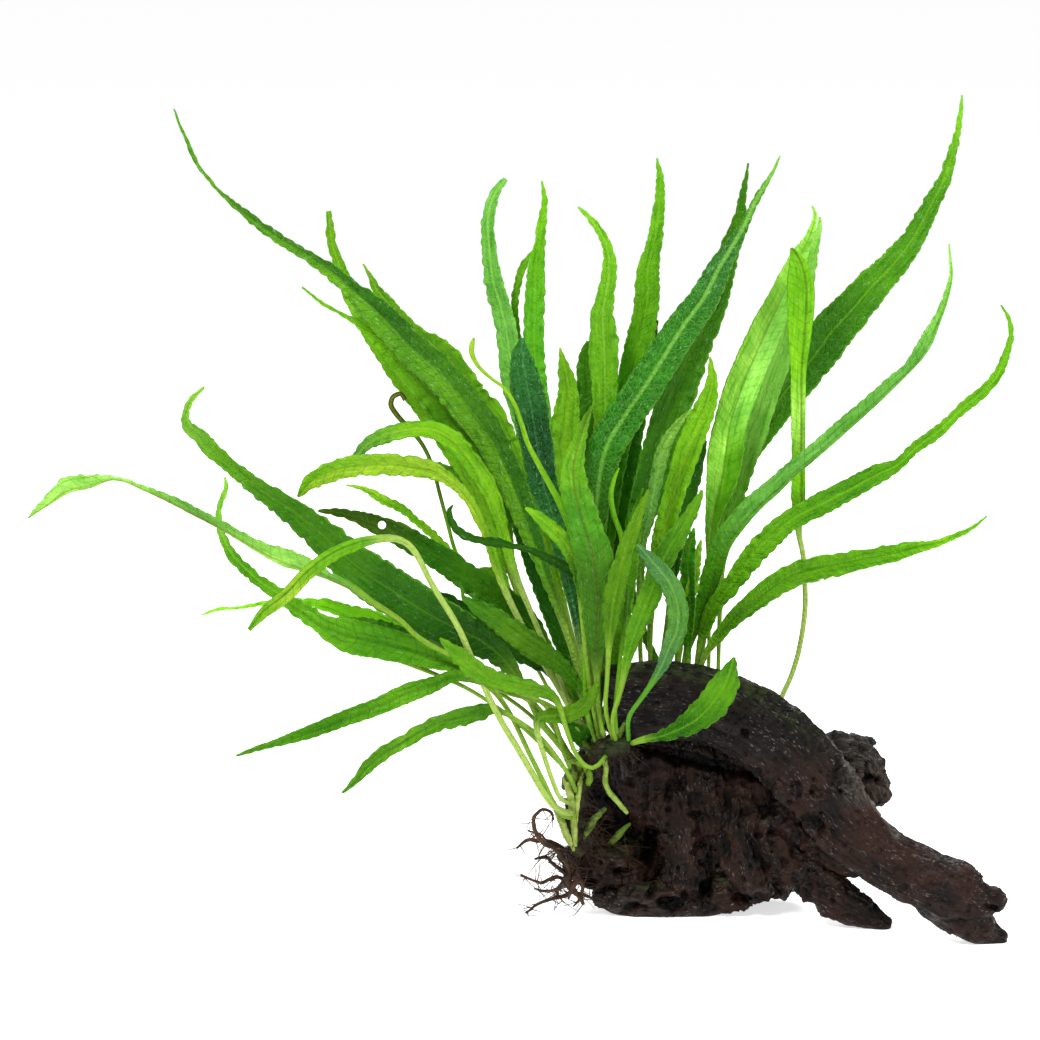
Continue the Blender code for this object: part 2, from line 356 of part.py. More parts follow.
FLAT_START_STRANDS = [SLAB_FRONT, SLAB_BACK]
ROUND_STRANDS = [
    SLAB_LOWER_TIP, SLAB_WEB, TRUNK_LEFT, TRUNK_COLUMN, TRUNK_MIDDLE, TRUNK_RIGHT, TRUNK_LOBE,
    TRUNK_BACK, TRUNK_LEFT_BACK, TRUNK_SHADOW, TRUNK_KNOB_ROOT, SHORT_LIMB, LEFT_BLOCK, LEFT_FOOT,
    BACK_KNOB, BACK_KNOB_HORN]

# The boxes that the wood's limbs are parted with: places in the picture, sizes in mm
Cut = namedtuple("Cut", "name middle depth size turn")
CUTS = [
    Cut("driftwood_long_limb", (961, 893), -40, (66.5, 120, 35), 36.9),
    Cut("driftwood_short_limb", (869, 935), -20, (40, 60, 24), 33.5),
    Cut("driftwood_back_knob", (870, 765), 40, (38, 66, 60), 0),
    Cut("driftwood_left_foot", (612, 915), -16, (30, 44, 20), 0)]


def remove_start_objects():
    for obj in list(bpy.data.objects):
        bpy.data.objects.remove(obj, do_unlink=True)


def new_collection(name):
    collection = bpy.data.collections.new(name)
    bpy.context.scene.collection.children.link(collection)
    return collection


def new_material(name, colour, roughness):
    material = bpy.data.materials.new(name)
    material.use_nodes = True
    surface = material.node_tree.nodes["Principled BSDF"]
    surface.inputs["Base Color"].default_value = (*colour, 1.0)
    surface.inputs["Roughness"].default_value = roughness
    surface.inputs["Metallic"].default_value = 0.0
    material.diffuse_color = (*colour, 1.0)
    return material


def new_object(name, mesh, collection, material=None):
    obj = bpy.data.objects.new(name, mesh)
    collection.objects.link(obj)
    if material:
        mesh.materials.append(material)
    return obj


def between(low, high, value):
    """0 below low, 1 above high, and a smooth step from one to the other."""
    t = min(max((value - low) / (high - low), 0.0), 1.0)
    return t * t * (3 - 2 * t)


def seen_at(across, down, depth):
    """The point at this depth in mm that is seen at a place in the picture."""
    forward = Vector((0, math.cos(VIEW_TILT), -math.sin(VIEW_TILT)))
    up = Vector((0, math.sin(VIEW_TILT), math.cos(VIEW_TILT)))
    right = Vector((1, 0, 0))
    eye = VIEW_TARGET - VIEW_DISTANCE * forward
    aside = right * (across - PICTURE_MIDDLE) + up * (PICTURE_MIDDLE - down)
    ray = forward + aside * PIXEL / VIEW_DISTANCE
    return eye + ray * ((depth * MM - eye.y) / ray.y)


def slab_cover(across, down):
    """1 where the wood's upper slab stands in the fronds' way, falling to 0 away from it."""
    start, end, place = Vector(SLAB_LEFT), Vector(SLAB_RIGHT), Vector((across, down))
    along = (place - start).dot(end - start) / (end - start).length_squared
    nearest = start.lerp(end, min(max(along, 0.0), 1.0))
    away = (place - nearest).length * PIXEL / MM
    return 1 - between(COVER_FULL, COVER_NONE, away)


def fan_depth(across, down, layer, side):
    """Depth in mm of a layer of the fan. Layers keep their order at every place of the picture."""
    reach = math.hypot(across - NECK[0], down - NECK[1]) * PIXEL / MM
    spread = NECK_SPREAD + SPREAD_PER_MM * reach
    cover = slab_cover(across, down)
    if layer > 0:
        spread *= 1 - BACK_SQUEEZE * cover * between(*SQUEEZE_EDGE, across)
    offset = {LEFT: 0, FRONT: FRONT_OFFSET, BACK: BACK_OFFSET}[side]
    low = between(*LOW_DOWN, down) * between(*LOW_ACROSS, across) if side == LEFT else 0
    return layer * spread + offset * cover + LOW_OFFSET * low


def curve_through(points, steps):
    """Points of a smooth curve through the given ones, as tuples: centripetal Catmull-Rom."""
    rows = [Vector(p) for p in points]
    rows = [rows[0] * 2 - rows[1]] + rows + [rows[-1] * 2 - rows[-2]]
    found = []
    for a, b, c, d in zip(rows, rows[1:], rows[2:], rows[3:]):
        knots = [0.0]
        for start, end in ((a, b), (b, c), (c, d)):
            knots.append(knots[-1] + max((end - start).length, 1e-6) ** 0.5)
        t0, t1, t2, t3 = knots
        for step in range(steps):
            t = t1 + (t2 - t1) * step / steps
            ab = a * ((t1 - t) / (t1 - t0)) + b * ((t - t0) / (t1 - t0))
            bc = b * ((t2 - t) / (t2 - t1)) + c * ((t - t1) / (t2 - t1))
            cd = c * ((t3 - t) / (t3 - t2)) + d * ((t - t2) / (t3 - t2))
            abc = ab * ((t2 - t) / (t2 - t0)) + bc * ((t - t0) / (t2 - t0))
            bcd = bc * ((t3 - t) / (t3 - t1)) + cd * ((t - t1) / (t3 - t1))
            found.append(abc * ((t2 - t) / (t2 - t1)) + bcd * ((t - t1) / (t2 - t1)))
    return found + [rows[-2]]


def strand_points(strand, steps=4):
    """A strand's (point, radius) pairs in metres along a smooth curve."""
    return [
        (seen_at(across, down, depth), radius * MM)
        for across, down, depth, radius in curve_through(strand, steps)
    ]


def nearest_on_strands(place, strands):
    """(point, radius) of the point nearest to a place on strands given as strand_points."""
    pairs = [pair for strand in strands for pair in strand]
    return min(pairs, key=lambda pair: (pair[0] - place).length - pair[1])


def pushed_clear(place, strands, clearance):
    """The place, moved out from the nearest strand until its surface is this far away."""
    core, radius = nearest_on_strands(place, strands)
    short = radius + clearance - (place - core).length
    return place + (place - core).normalized() * max(short, 0.0)


def frond_stations(frond, rhizomes):
    """The frond's cross-sections from stalk to tip: (centre, along, outward, width)."""
    fine = curve_through(frond.route, ROUTE_STEPS)

    def place(row, share):
        across, down = row[0], row[1]
        depth = fan_depth(across, down, frond.layer, frond.side)
        return seen_at(across, down, depth + frond.sway * share * share)

    count = len(fine) - 1
    centres = [place(row, i / count) for i, row in enumerate(fine)]
    lengths = [0.0]
    for a, b in zip(centres, centres[1:]):
        lengths.append(lengths[-1] + (b - a).length)
    foot = next(i for i, length in enumerate(lengths) if length > FOOT_SHARE * lengths[-1])
    core, radius = nearest_on_strands(centres[foot], rhizomes)
    base = core + (centres[foot] - core).normalized() * (radius + BASE_GAP * MM)
    shift = base - centres[0]
    for i, length in enumerate(lengths):
        left = max(1 - length / (BASE_BLEND * lengths[-1]), 0.0)
        centres[i] = centres[i] + shift * left * left
        if length < CLEAR_SHARE * lengths[-1]:
            half = fine[i][2] * MM / 2
            clearance = CLEAR_GAP * MM + half * between(0, 3 * half, length)
            centres[i] = pushed_clear(centres[i], rhizomes, clearance)
    stations = []
    cost = [0.0]
    for a, b, c in zip(centres, centres[1:], centres[2:]):
        turn = (b - a).angle(c - b, 0.0)
        cost.append(cost[-1] + (b - a).length / (SECTION_SPACING * MM) + turn / SECTION_TURN)
    cost.append(cost[-1] + (centres[-1] - centres[-2]).length / (SECTION_SPACING * MM))
    sections = max(round(cost[-1]), FEWEST_SECTIONS)
    for k in range(sections + 1):
        wanted = cost[-1] * k / sections
        i = min(range(len(cost)), key=lambda n: abs(cost[n] - wanted))
        row = fine[i]
        share = lengths[i] / lengths[-1]
        along = (centres[min(i + 1, count)] - centres[max(i - 1, 0)]).normalized()
        here = place(row, share)
        sideways = place((row[0] + 1, row[1]), share) - here
        upward = place((row[0], row[1] - 1), share) - here
        outward = sideways.cross(upward).normalized()
        outward = (outward - along * outward.dot(along)).normalized()
        stations.append((centres[i], along, outward, row[2] * MM))
    return stations


def frond_mesh(frond, rhizomes):
    """A closed strip with a lozenge section: two edges and a raised midrib on either face."""
    bm = bmesh.new()
    rings = []
    for centre, along, outward, width in frond_stations(frond, rhizomes):
        across = along.cross(outward)
        slim = math.exp((STALK_WIDTH - width / MM) / 2)
        thickness = min(width, (BLADE_THICKNESS + STALK_THICKENING * slim) * MM)
        corners = (across * width, outward * thickness, -across * width, -outward * thickness)
        rings.append([bm.verts.new(centre + corner / 2) for corner in corners])
    for lower, upper in zip(rings, rings[1:]):
        for i in range(4):
            j = (i + 1) % 4
            bm.faces.new((lower[i], lower[j], upper[j], upper[i]))
    bm.faces.new(rings[0][::-1])
    bm.faces.new(rings[-1])
    bmesh.ops.recalc_face_normals(bm, faces=bm.faces)
    mesh = bpy.data.meshes.new(frond.name)
    bm.to_mesh(mesh)
    bm.free()
    mesh.shade_smooth()
    return mesh


def tube_mesh(name, strand, sides, steps=TUBE_STEPS):
    """A closed tube along a strand, whose radius changes from point to point."""
    curve = bpy.data.curves.new(name, "CURVE")
    curve.dimensions = "3D"
    curve.bevel_depth = 1.0
    curve.bevel_resolution = sides // 2 - 2
    curve.use_fill_caps = True
    pairs = strand_points(strand, steps)
    spline = curve.splines.new("POLY")
    spline.points.add(len(pairs) - 1)
    for point, (place, radius) in zip(spline.points, pairs):
        point.co = (*place, 1.0)
        point.radius = radius
    holder = bpy.data.objects.new(name, curve)
    bpy.context.scene.collection.objects.link(holder)
    bpy.context.view_layer.update()
    mesh = bpy.data.meshes.new_from_object(holder.evaluated_get(bpy.context.evaluated_depsgraph_get()))
    bpy.data.objects.remove(holder, do_unlink=True)
    bpy.data.curves.remove(curve)
    bm = bmesh.new()
    bm.from_mesh(mesh)
    bmesh.ops.remove_doubles(bm, verts=bm.verts, dist=WELD)
    bmesh.ops.recalc_face_normals(bm, faces=bm.faces)
    bm.to_mesh(mesh)
    bm.free()
    mesh.name = name
    return mesh


def add_modifier(obj, kind, **settings):
    modifier = obj.modifiers.new(kind.title(), kind)
    for key, value in settings.items():
        setattr(modifier, key, value)
    return modifier


def apply_modifiers(obj):
    """Replaces the object's mesh by what its modifiers make of it."""
    bpy.context.view_layer.update()
    graph = bpy.context.evaluated_depsgraph_get()
    mesh = bpy.data.meshes.new_from_object(obj.evaluated_get(graph))
    obj.modifiers.clear()
    obj.data = mesh
    return mesh


def joined_tubes(name, strands, flat_start_strands, sides):
    """One mesh of many tubes with a ball at both ends, or at the last end of a flat-start strand."""
    bm = bmesh.new()
    for strand in strands + flat_start_strands:
        mesh = tube_mesh(name, strand, sides, WOOD_STEPS)
        bm.from_mesh(mesh)
        bpy.data.meshes.remove(mesh)
        pairs = strand_points(strand)
        for place, radius in pairs[-1:] if strand in flat_start_strands else (pairs[0], pairs[-1]):
            bmesh.ops.create_icosphere(
                bm, subdivisions=2, radius=radius * BALL_SHARE, matrix=Matrix.Translation(place))
    mesh = bpy.data.meshes.new(name)
    bm.to_mesh(mesh)
    bm.free()
    return mesh


def driftwood_mass():
    """The whole driftwood as one closed mesh, flat where it rests."""
    tubes = joined_tubes("mass", ROUND_STRANDS, FLAT_START_STRANDS, WOOD_SIDES)
    mass = new_object("mass", tubes, bpy.context.scene.collection)
    add_modifier(mass, "REMESH", mode="VOXEL", voxel_size=WOOD_VOXEL * MM)
    add_modifier(mass, "SMOOTH", factor=0.5, iterations=WOOD_SMOOTHING)
    fine = apply_modifiers(mass)
    add_modifier(mass, "DECIMATE", ratio=WOOD_TRIANGLES / (2 * len(fine.polygons)))
    mesh = apply_modifiers(mass)
    bpy.data.objects.remove(mass, do_unlink=True)
    bm = bmesh.new()
    bm.from_mesh(mesh)
    cut = bmesh.ops.bisect_plane(
        bm, geom=bm.verts[:] + bm.edges[:] + bm.faces[:], dist=0.001 * MM,
        plane_co=(0, 0, 0), plane_no=(0, 0, -1), clear_outer=True)
    rim = [item for item in cut["geom_cut"] if isinstance(item, bmesh.types.BMEdge)]
    bmesh.ops.holes_fill(bm, edges=rim)
    bmesh.ops.triangulate(bm, faces=bm.faces)
    bm.to_mesh(mesh)
    bm.free()
    return mesh


def cut_box(cut, margin, collection):
    """A hidden box that parts a limb from the rest, grown by a margin in mm on every side."""
    size = Vector(cut.size) + Vector((1, 1, 1)) * 2 * margin
    place = (
        Matrix.Translation(seen_at(*cut.middle, cut.depth)) @ Matrix.Rotation(-VIEW_TILT, 4, "X")
        @ Matrix.Rotation(math.radians(cut.turn), 4, "Y") @ Matrix.Diagonal((*size * MM, 1)))
    bm = bmesh.new()
    bmesh.ops.create_cube(bm, size=1, matrix=place)
    mesh = bpy.data.meshes.new(f"{cut.name}_box")
    bm.to_mesh(mesh)
    bm.free()
    box = new_object(f"{cut.name}_box_{margin:g}", mesh, collection)
    box.hide_render = True
    box.display_type = "WIRE"
    return box


def build_driftwood(model, cutters, material):
    """The trunk, and each limb as what its own box holds of the same mass."""
    mass = driftwood_mass()
    trunk = new_object("driftwood_trunk", mass.copy(), model, material)
    for cut in CUTS:
        box = cut_box(cut, GAP / MM, cutters)
        add_modifier(trunk, "BOOLEAN", operation="DIFFERENCE", solver="EXACT", object=box)
        limb = new_object(cut.name, mass.copy(), model, material)
        box = cut_box(cut, 0, cutters)
        add_modifier(limb, "BOOLEAN", operation="INTERSECT", solver="EXACT", object=box)


def build_root_tuft(model, cutters, material):
    """The knot with every root joined to it."""
    tuft = new_object("root_tuft", tube_mesh("root_tuft", ROOT_KNOT, RHIZOME_SIDES, 3), model, material)
    for number, strand in enumerate(ROOTS, 1):
        form = new_object(f"root_{number}_form", tube_mesh(f"root_{number}", strand, ROOT_SIDES), cutters)
        form.hide_render = True
        form.display_type = "WIRE"
        add_modifier(tuft, "BOOLEAN", operation="UNION", solver="EXACT", object=form)


def main():
    remove_start_objects()
    model = new_collection("java_fern_on_driftwood")
    cutters = new_collection("cutters")
    green = new_material("leaf_green", (0.08, 0.30, 0.02), 0.35)
    rhizome_brown = new_material("rhizome_brown", (0.10, 0.09, 0.03), 0.6)
    root_brown = new_material("root_brown", (0.12, 0.06, 0.03), 0.7)
    wood = new_material("driftwood_dark", (0.035, 0.026, 0.022), 0.55)
    rhizomes = {
        "rhizome_lower": RHIZOME_LOWER, "rhizome_front": RHIZOME_FRONT, "rhizome_back": RHIZOME_BACK}
    build_driftwood(model, cutters, wood)
    cores = [strand_points(strand, 8) for strand in rhizomes.values()]
    for frond in FRONDS:
        new_object(frond.name, frond_mesh(frond, cores), model, green)
    for name, strand in rhizomes.items():
        new_object(name, tube_mesh(name, strand, RHIZOME_SIDES), model, rhizome_brown)
    new_object("green_shoot", tube_mesh("green_shoot", GREEN_SHOOT, ROOT_SIDES), model, green)
    build_root_tuft(model, cutters, root_brown)


main()
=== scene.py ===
"""Java fern growing on a piece of dark, wet driftwood: the finished look of every piece.

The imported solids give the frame. Each frond, root and stretch of rhizome is rebuilt here along the
same route as its solid, with its ruffled margin, quilted blade and round stalk, and the driftwood
is rebuilt from the same strands with its grain, pits and hollows. Sizes are in metres, and in
millimetres where a name or a comment says so.
"""

import logging
import math
from collections.abc import Callable, Sequence
from dataclasses import dataclass
from enum import Enum

import bpy
import numpy as np
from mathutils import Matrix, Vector


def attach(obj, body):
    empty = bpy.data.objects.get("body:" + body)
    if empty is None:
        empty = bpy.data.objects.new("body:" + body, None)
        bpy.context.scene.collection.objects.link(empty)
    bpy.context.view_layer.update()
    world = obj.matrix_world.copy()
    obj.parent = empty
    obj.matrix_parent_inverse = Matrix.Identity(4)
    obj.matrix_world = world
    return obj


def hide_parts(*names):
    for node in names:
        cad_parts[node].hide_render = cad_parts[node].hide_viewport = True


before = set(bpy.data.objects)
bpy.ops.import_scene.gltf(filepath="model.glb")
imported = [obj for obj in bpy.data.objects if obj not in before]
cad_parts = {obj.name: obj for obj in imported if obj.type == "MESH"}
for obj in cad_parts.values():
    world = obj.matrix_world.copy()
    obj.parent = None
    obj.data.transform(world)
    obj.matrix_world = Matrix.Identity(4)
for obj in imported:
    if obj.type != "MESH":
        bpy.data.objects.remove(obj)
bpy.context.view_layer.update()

LOG = logging.getLogger("java_fern")
MM = 0.001
TINY = 1e-9
BODY = "root"

Array = np.ndarray
Row = tuple[float, ...]
Rgb = tuple[float, float, float]
Span = tuple[float, float]
Socket = bpy.types.NodeSocket
Piece = bpy.types.Object


class Side(Enum):
    """Where a frond stands against the wood's upper slab, as a depth in mm."""

    LEFT = 0.0
    FRONT = -14.0
    BACK = 27.0


class Slot(Enum):
    """Material slots of the record."""

    LEAF = "leaf"
    RHIZOME = "rhizome"
    ROOT = "root"
    WOOD = "wood"


class Tone(Enum):
    """Leaf and stalk colours, as 0 to 255 values of a picture."""

    DEEP = (30, 84, 6)
    FOREST = (44, 106, 6)
    LEAF = (68, 130, 12)
    EMERALD = (44, 120, 20)
    FRESH = (95, 158, 20)
    BRIGHT = (80, 160, 24)
    LIME = (118, 186, 22)
    YELLOW_LIME = (156, 200, 44)
    PALE_LIME = (146, 204, 70)
    PALE = (146, 212, 84)
    GREY_LEAF = (98, 162, 62)
    BLUE_LEAF = (36, 98, 30)
    BLUE_DARK = (22, 70, 28)
    BLUE_GREY = (70, 130, 74)
    OLIVE = (66, 96, 14)
    BROWN = (92, 62, 30)
    RUST = (128, 78, 26)
    STALK = (128, 168, 52)
    STALK_PALE = (164, 192, 92)
    STALK_GREEN = (84, 146, 34)

    def linear(self, gain: float = 1.0) -> Rgb:
        """The colour's light values from 0 to 1, multiplied by a gain."""
        shares = (value / 255 for value in self.value)
        bright = ((s / 12.92 if s <= 0.04045 else ((s + 0.055) / 1.055) ** 2.4) for s in shares)
        return tuple(min(value * gain, 1.0) for value in bright)


def smooth_step(low: float, high: float, value: Array | float) -> Array:
    """0 below low, 1 above high, and a smooth step from one to the other."""
    t = np.clip((np.asarray(value, float) - low) / (high - low), 0.0, 1.0)
    return t * t * (3 - 2 * t)


def unit(rows: Array) -> Array:
    """Each row scaled to length 1."""
    return rows / np.maximum(np.linalg.norm(rows, axis=-1, keepdims=True), 1e-12)


def read_route(text: str) -> list[list[float]]:
    """The points of a route, whose last values are left out where they stay the same."""
    rows = [[float(word) for word in point.split()] for point in text.split(",")]
    for last, row in zip(rows, rows[1:]):
        row.extend(last[len(row):])
    return rows


def curve_through(points: Sequence[Sequence[float]], steps: int) -> Array:
    """A smooth centripetal curve through points of any number of values.

    Args:
        points: the points that the curve passes through.
        steps: how many stretches each gap between points is divided into.

    Returns:
        The curve's points, one a row.
    """
    rows = np.asarray(points, float)
    rows = np.vstack([rows[0] * 2 - rows[1], rows, rows[-1] * 2 - rows[-2]])
    found = []
    for level in zip(rows, rows[1:], rows[2:], rows[3:]):
        knots = [0.0]
        for a, b in zip(level, level[1:]):
            knots.append(knots[-1] + max(np.linalg.norm(b - a), 1e-6) ** 0.5)
        at = (knots[1] + (knots[2] - knots[1]) * np.arange(steps) / steps)[:, None]
        for spans in ("01 12 23", "02 13", "12"):
            ends = [(knots[int(i)], knots[int(j)]) for i, j in spans.split()]
            level = [a * ((high - at) / (high - low)) + b * ((at - low) / (high - low))
                     for (low, high), a, b in zip(ends, level, level[1:])]
        found.append(level[0])
    return np.vstack([*found, rows[-2]])


def arc_lengths(points: Array) -> Array:
    """The distance along a path at each of its points."""
    return np.concatenate([[0.0], np.cumsum(np.linalg.norm(np.diff(points, axis=0), axis=1))])


def at_lengths(lengths: Array, values: Array, wanted: Array) -> Array:
    """Values kept along a path, read at other lengths."""
    if values.ndim == 1:
        return np.interp(wanted, lengths, values)
    return np.stack([np.interp(wanted, lengths, column) for column in values.T], axis=1)


@dataclass(frozen=True)
class Noise:
    """Smooth seeded noise over points in space, from -1 to 1."""

    seed: int = 1

    def corner(self, cell: Array) -> Array:
        """A value from -1 to 1 that belongs to each cell's corner."""
        mixed = (cell[..., 0] * 73856093) ^ (cell[..., 1] * 19349663) ^ (cell[..., 2] * 83492791)
        mixed = (mixed ^ (self.seed * 2654435761)) & 0x7FFFFFFF
        mixed = ((mixed ^ (mixed >> 13)) * 1274126177) & 0x7FFFFFFF
        return ((mixed ^ (mixed >> 16)) & 0xFFFF) / 32767.5 - 1.0

    def at(self, points: Array) -> Array:
        """The noise at points, whose cells are one unit wide.

        Args:
            points: places, one a row.

        Returns:
            One value a point.
        """
        low = np.floor(points).astype(np.int64)
        share = points - low
        share = share * share * share * (share * (share * 6 - 15) + 10)
        total = np.zeros(points.shape[:-1])
        for corner in np.ndindex(2, 2, 2):
            weight = np.ones(points.shape[:-1])
            for axis, step in enumerate(corner):
                weight = weight * (share[..., axis] if step else 1 - share[..., axis])
            total += weight * self.corner(low + np.array(corner))
        return total

    def layered(self, points: Array, octaves: int = 3) -> Array:
        """Noise with finer and weaker layers on it.

        Args:
            points: places, one a row.
            octaves: how many layers there are.

        Returns:
            One value a point.
        """
        total, size, reach = np.zeros(points.shape[:-1]), 1.0, 0.0
        for _ in range(octaves):
            total += self.at(points / size) * size
            reach += size
            size /= 2
        return total / reach

    def along(self, lengths: Array, spacing: float, row: float = 0.0) -> Array:
        """Noise along one line.

        Args:
            lengths: places on the line.
            spacing: how far apart its waves are.
            row: which line it is, so that several differ.

        Returns:
            One value a place.
        """
        points = np.zeros((len(lengths), 3))
        points[:, 0] = lengths / spacing
        points[:, 1] = row + 0.37
        return self.at(points)


@dataclass(frozen=True)
class View:
    """The side that the object is seen from first. Route points are places in its picture."""

    target: tuple[float, float, float] = (-0.070, 0.0, 0.140)
    distance: float = 1.5
    tilt: float = math.radians(10)
    pixel: float = 0.35 * MM
    middle: float = 520.0
    sensor: float = 36.0

    @property
    def forward(self) -> Array:
        """The direction that the picture is seen in."""
        return np.array([0.0, math.cos(self.tilt), -math.sin(self.tilt)])

    @property
    def up(self) -> Array:
        """The direction that is up in the picture."""
        return np.array([0.0, math.sin(self.tilt), math.cos(self.tilt)])

    @property
    def eye(self) -> Array:
        """The point that the picture is seen from."""
        return np.array(self.target) - self.distance * self.forward

    @property
    def lens(self) -> float:
        """The focal length in mm that gives the picture its width."""
        return self.sensor * self.distance / (2 * self.middle * self.pixel)

    def seen_at(self, across: Array | float, down: Array | float, depth: Array | float) -> Array:
        """Points in space that are seen at places of the picture.

        Args:
            across: pixels from the picture's left.
            down: pixels from its top.
            depth: how far back each point is, in mm.

        Returns:
            The points in metres, one a row.
        """
        across, down, depth = np.broadcast_arrays(
            np.asarray(across, float), np.asarray(down, float), np.asarray(depth, float))
        aside = (across - self.middle)[..., None] * np.array([1.0, 0.0, 0.0])
        aside = aside + (self.middle - down)[..., None] * self.up
        ray = self.forward + aside * self.pixel / self.distance
        return self.eye + ray * ((depth * MM - self.eye[1]) / ray[..., 1])[..., None]

    def picture(self, points: Array) -> tuple[Array, Array]:
        """Where points in space are seen: pixels from the picture's left and from its top."""
        ray = points - self.eye
        scale = self.distance / (ray @ self.forward) / self.pixel
        return self.middle + ray[..., 0] * scale, self.middle - (ray @ self.up) * scale


VIEW = View()


@dataclass(frozen=True)
class Fan:
    """How the fronds fan out in depth. Sizes are in mm and places are in the picture."""

    neck: Span = (620, 730)
    neck_spread: float = 28
    spread_per_mm: float = 0.30
    slab: tuple[Span, Span] = ((600, 690), (790, 700))
    cover_reach: Span = (12, 70)
    back_squeeze: float = 0.7
    squeeze_edge: Span = (604, 640)
    low_offset: float = -10
    low_down: Span = (750, 815)
    low_across: Span = (470, 540)

    def slab_cover(self, across: Array, down: Array) -> Array:
        """How much the wood's upper slab stands in the way.

        Args:
            across: pixels from the picture's left.
            down: pixels from its top.

        Returns:
            1 at the slab, falling to 0 away from it.
        """
        start, end = np.array(self.slab[0], float), np.array(self.slab[1], float)
        place = np.stack([across, down], axis=-1)
        along = ((place - start) @ (end - start)) / ((end - start) @ (end - start))
        nearest = start + np.clip(along, 0, 1)[..., None] * (end - start)
        away = np.linalg.norm(place - nearest, axis=-1) * VIEW.pixel / MM
        return 1 - smooth_step(*self.cover_reach, away)

    def depth(self, across: Array, down: Array, layer: float, side: Side) -> Array:
        """How far back a layer of the fan is.

        Args:
            across: pixels from the picture's left.
            down: pixels from its top.
            layer: the layer, from -1 at the front to 1 at the back.
            side: where the frond stands against the slab.

        Returns:
            Depths in mm.
        """
        reach = np.hypot(across - self.neck[0], down - self.neck[1]) * VIEW.pixel / MM
        spread = self.neck_spread + self.spread_per_mm * reach
        cover = self.slab_cover(across, down)
        if layer > 0:
            spread = spread * (1 - self.back_squeeze * cover * smooth_step(*self.squeeze_edge, across))
        low = smooth_step(*self.low_down, down) * smooth_step(*self.low_across, across)
        low = low if side is Side.LEFT else 0.0
        return layer * spread + side.value * cover + self.low_offset * low


FAN = Fan()


class Bench:
    """The modelling moves that every piece is made with."""

    @staticmethod
    def clear() -> None:
        """Deselects everything."""
        bpy.ops.object.select_all(action="DESELECT")

    @staticmethod
    def pick(*objects: Piece) -> None:
        """Selects these objects alone, and makes the first one active."""
        Bench.clear()
        for obj in objects:
            obj.select_set(True)
        bpy.context.view_layer.objects.active = objects[0]

    @staticmethod
    def edit(obj: Piece, *moves: Callable[[], object]) -> None:
        """Runs moves in edit mode on all of an object."""
        Bench.pick(obj)
        bpy.ops.object.mode_set(mode="EDIT")
        bpy.ops.mesh.select_all(action="SELECT")
        for move in moves:
            move()
        bpy.ops.object.mode_set(mode="OBJECT")

    @staticmethod
    def keep(mesh: bpy.types.Mesh, key: str, values: Array, kind: str = "FLOAT") -> None:
        """Keeps a number or a vector at each of a mesh's points, for its finish to read."""
        mark = mesh.attributes.new(key, kind, "POINT")
        field = "value" if kind == "FLOAT" else "vector"
        mark.data.foreach_set(field, values.astype(np.float32).reshape(-1))

    @staticmethod
    def sleeve(name: str, rings: Array, maps: dict[str, Array] | None = None,
               marks: dict[str, Array] | None = None) -> Piece:
        """A grid rolled into a sleeve round a path, with its seam merged and its ends closed.

        Args:
            name: the piece's name.
            rings: the sleeve's points, by ring, by place round the ring, by axis.
            maps: UV maps by name, each with one more place a ring than there are points.
            marks: numbers kept at the points, by name.

        Returns:
            The new object, closed and facing out.
        """
        count, around = rings.shape[:2]
        Bench.clear()
        bpy.ops.mesh.primitive_grid_add(x_subdivisions=around, y_subdivisions=count - 1, size=1)
        obj = bpy.context.object
        obj.name = obj.data.name = name
        mesh = obj.data
        mesh.vertices.foreach_set("co", seamed(rings).reshape(-1))
        corners = np.empty(len(mesh.loops), np.int32)
        mesh.loops.foreach_get("vertex_index", corners)
        while mesh.uv_layers:
            mesh.uv_layers.remove(mesh.uv_layers[0])
        for key, places in (maps or {}).items():
            layer = mesh.uv_layers.new(name=key)
            layer.data.foreach_set("uv", places.reshape(-1, 2)[corners].reshape(-1))
        for key, values in (marks or {}).items():
            Bench.keep(mesh, key, seamed(values))
        Bench.edit(
            obj,
            lambda: bpy.ops.mesh.remove_doubles(threshold=1e-7),
            lambda: bpy.ops.mesh.fill_holes(sides=around),
            lambda: bpy.ops.mesh.normals_make_consistent(inside=False))
        bpy.ops.object.shade_smooth()
        return obj

    @staticmethod
    def modify(obj: Piece, kind: str, **settings: object) -> None:
        """Adds a modifier with these settings and applies it."""
        Bench.pick(obj)
        modifier = obj.modifiers.new(kind.title(), kind)
        for key, value in settings.items():
            setattr(modifier, key, value)
        bpy.ops.object.modifier_apply(modifier=modifier.name)

    @staticmethod
    def place(*objects: Piece) -> None:
        """Moves the objects' places, turns and scales into their meshes."""
        Bench.pick(*objects)
        bpy.ops.object.transform_apply(location=True, rotation=True, scale=True)

    @staticmethod
    def join(name: str, objects: Sequence[Piece]) -> Piece:
        """One object of several, under a new name."""
        Bench.pick(*objects)
        if len(objects) > 1:
            bpy.ops.object.join()
        objects[0].name = objects[0].data.name = name
        return objects[0]

    @staticmethod
    def hand_over(obj: Piece, slot: Slot, material: bpy.types.Material,
                  nodes: Sequence[str] = ()) -> None:
        """Args:
            obj: the piece, in place.
            slot: the record's slot; not used.
            material: its finish.
            nodes: the solids that it stands for.
        """
        obj.data.materials.clear()
        obj.data.materials.append(material)
        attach(obj, BODY)
        if nodes:
            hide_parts(*nodes)
        LOG.info("%s: %d faces", obj.name, len(obj.data.polygons))


def seamed(values: Array) -> Array:
    """Values round rings, with the first of each ring once more at its end."""
    return np.concatenate([values, values[:, :1]], axis=1)


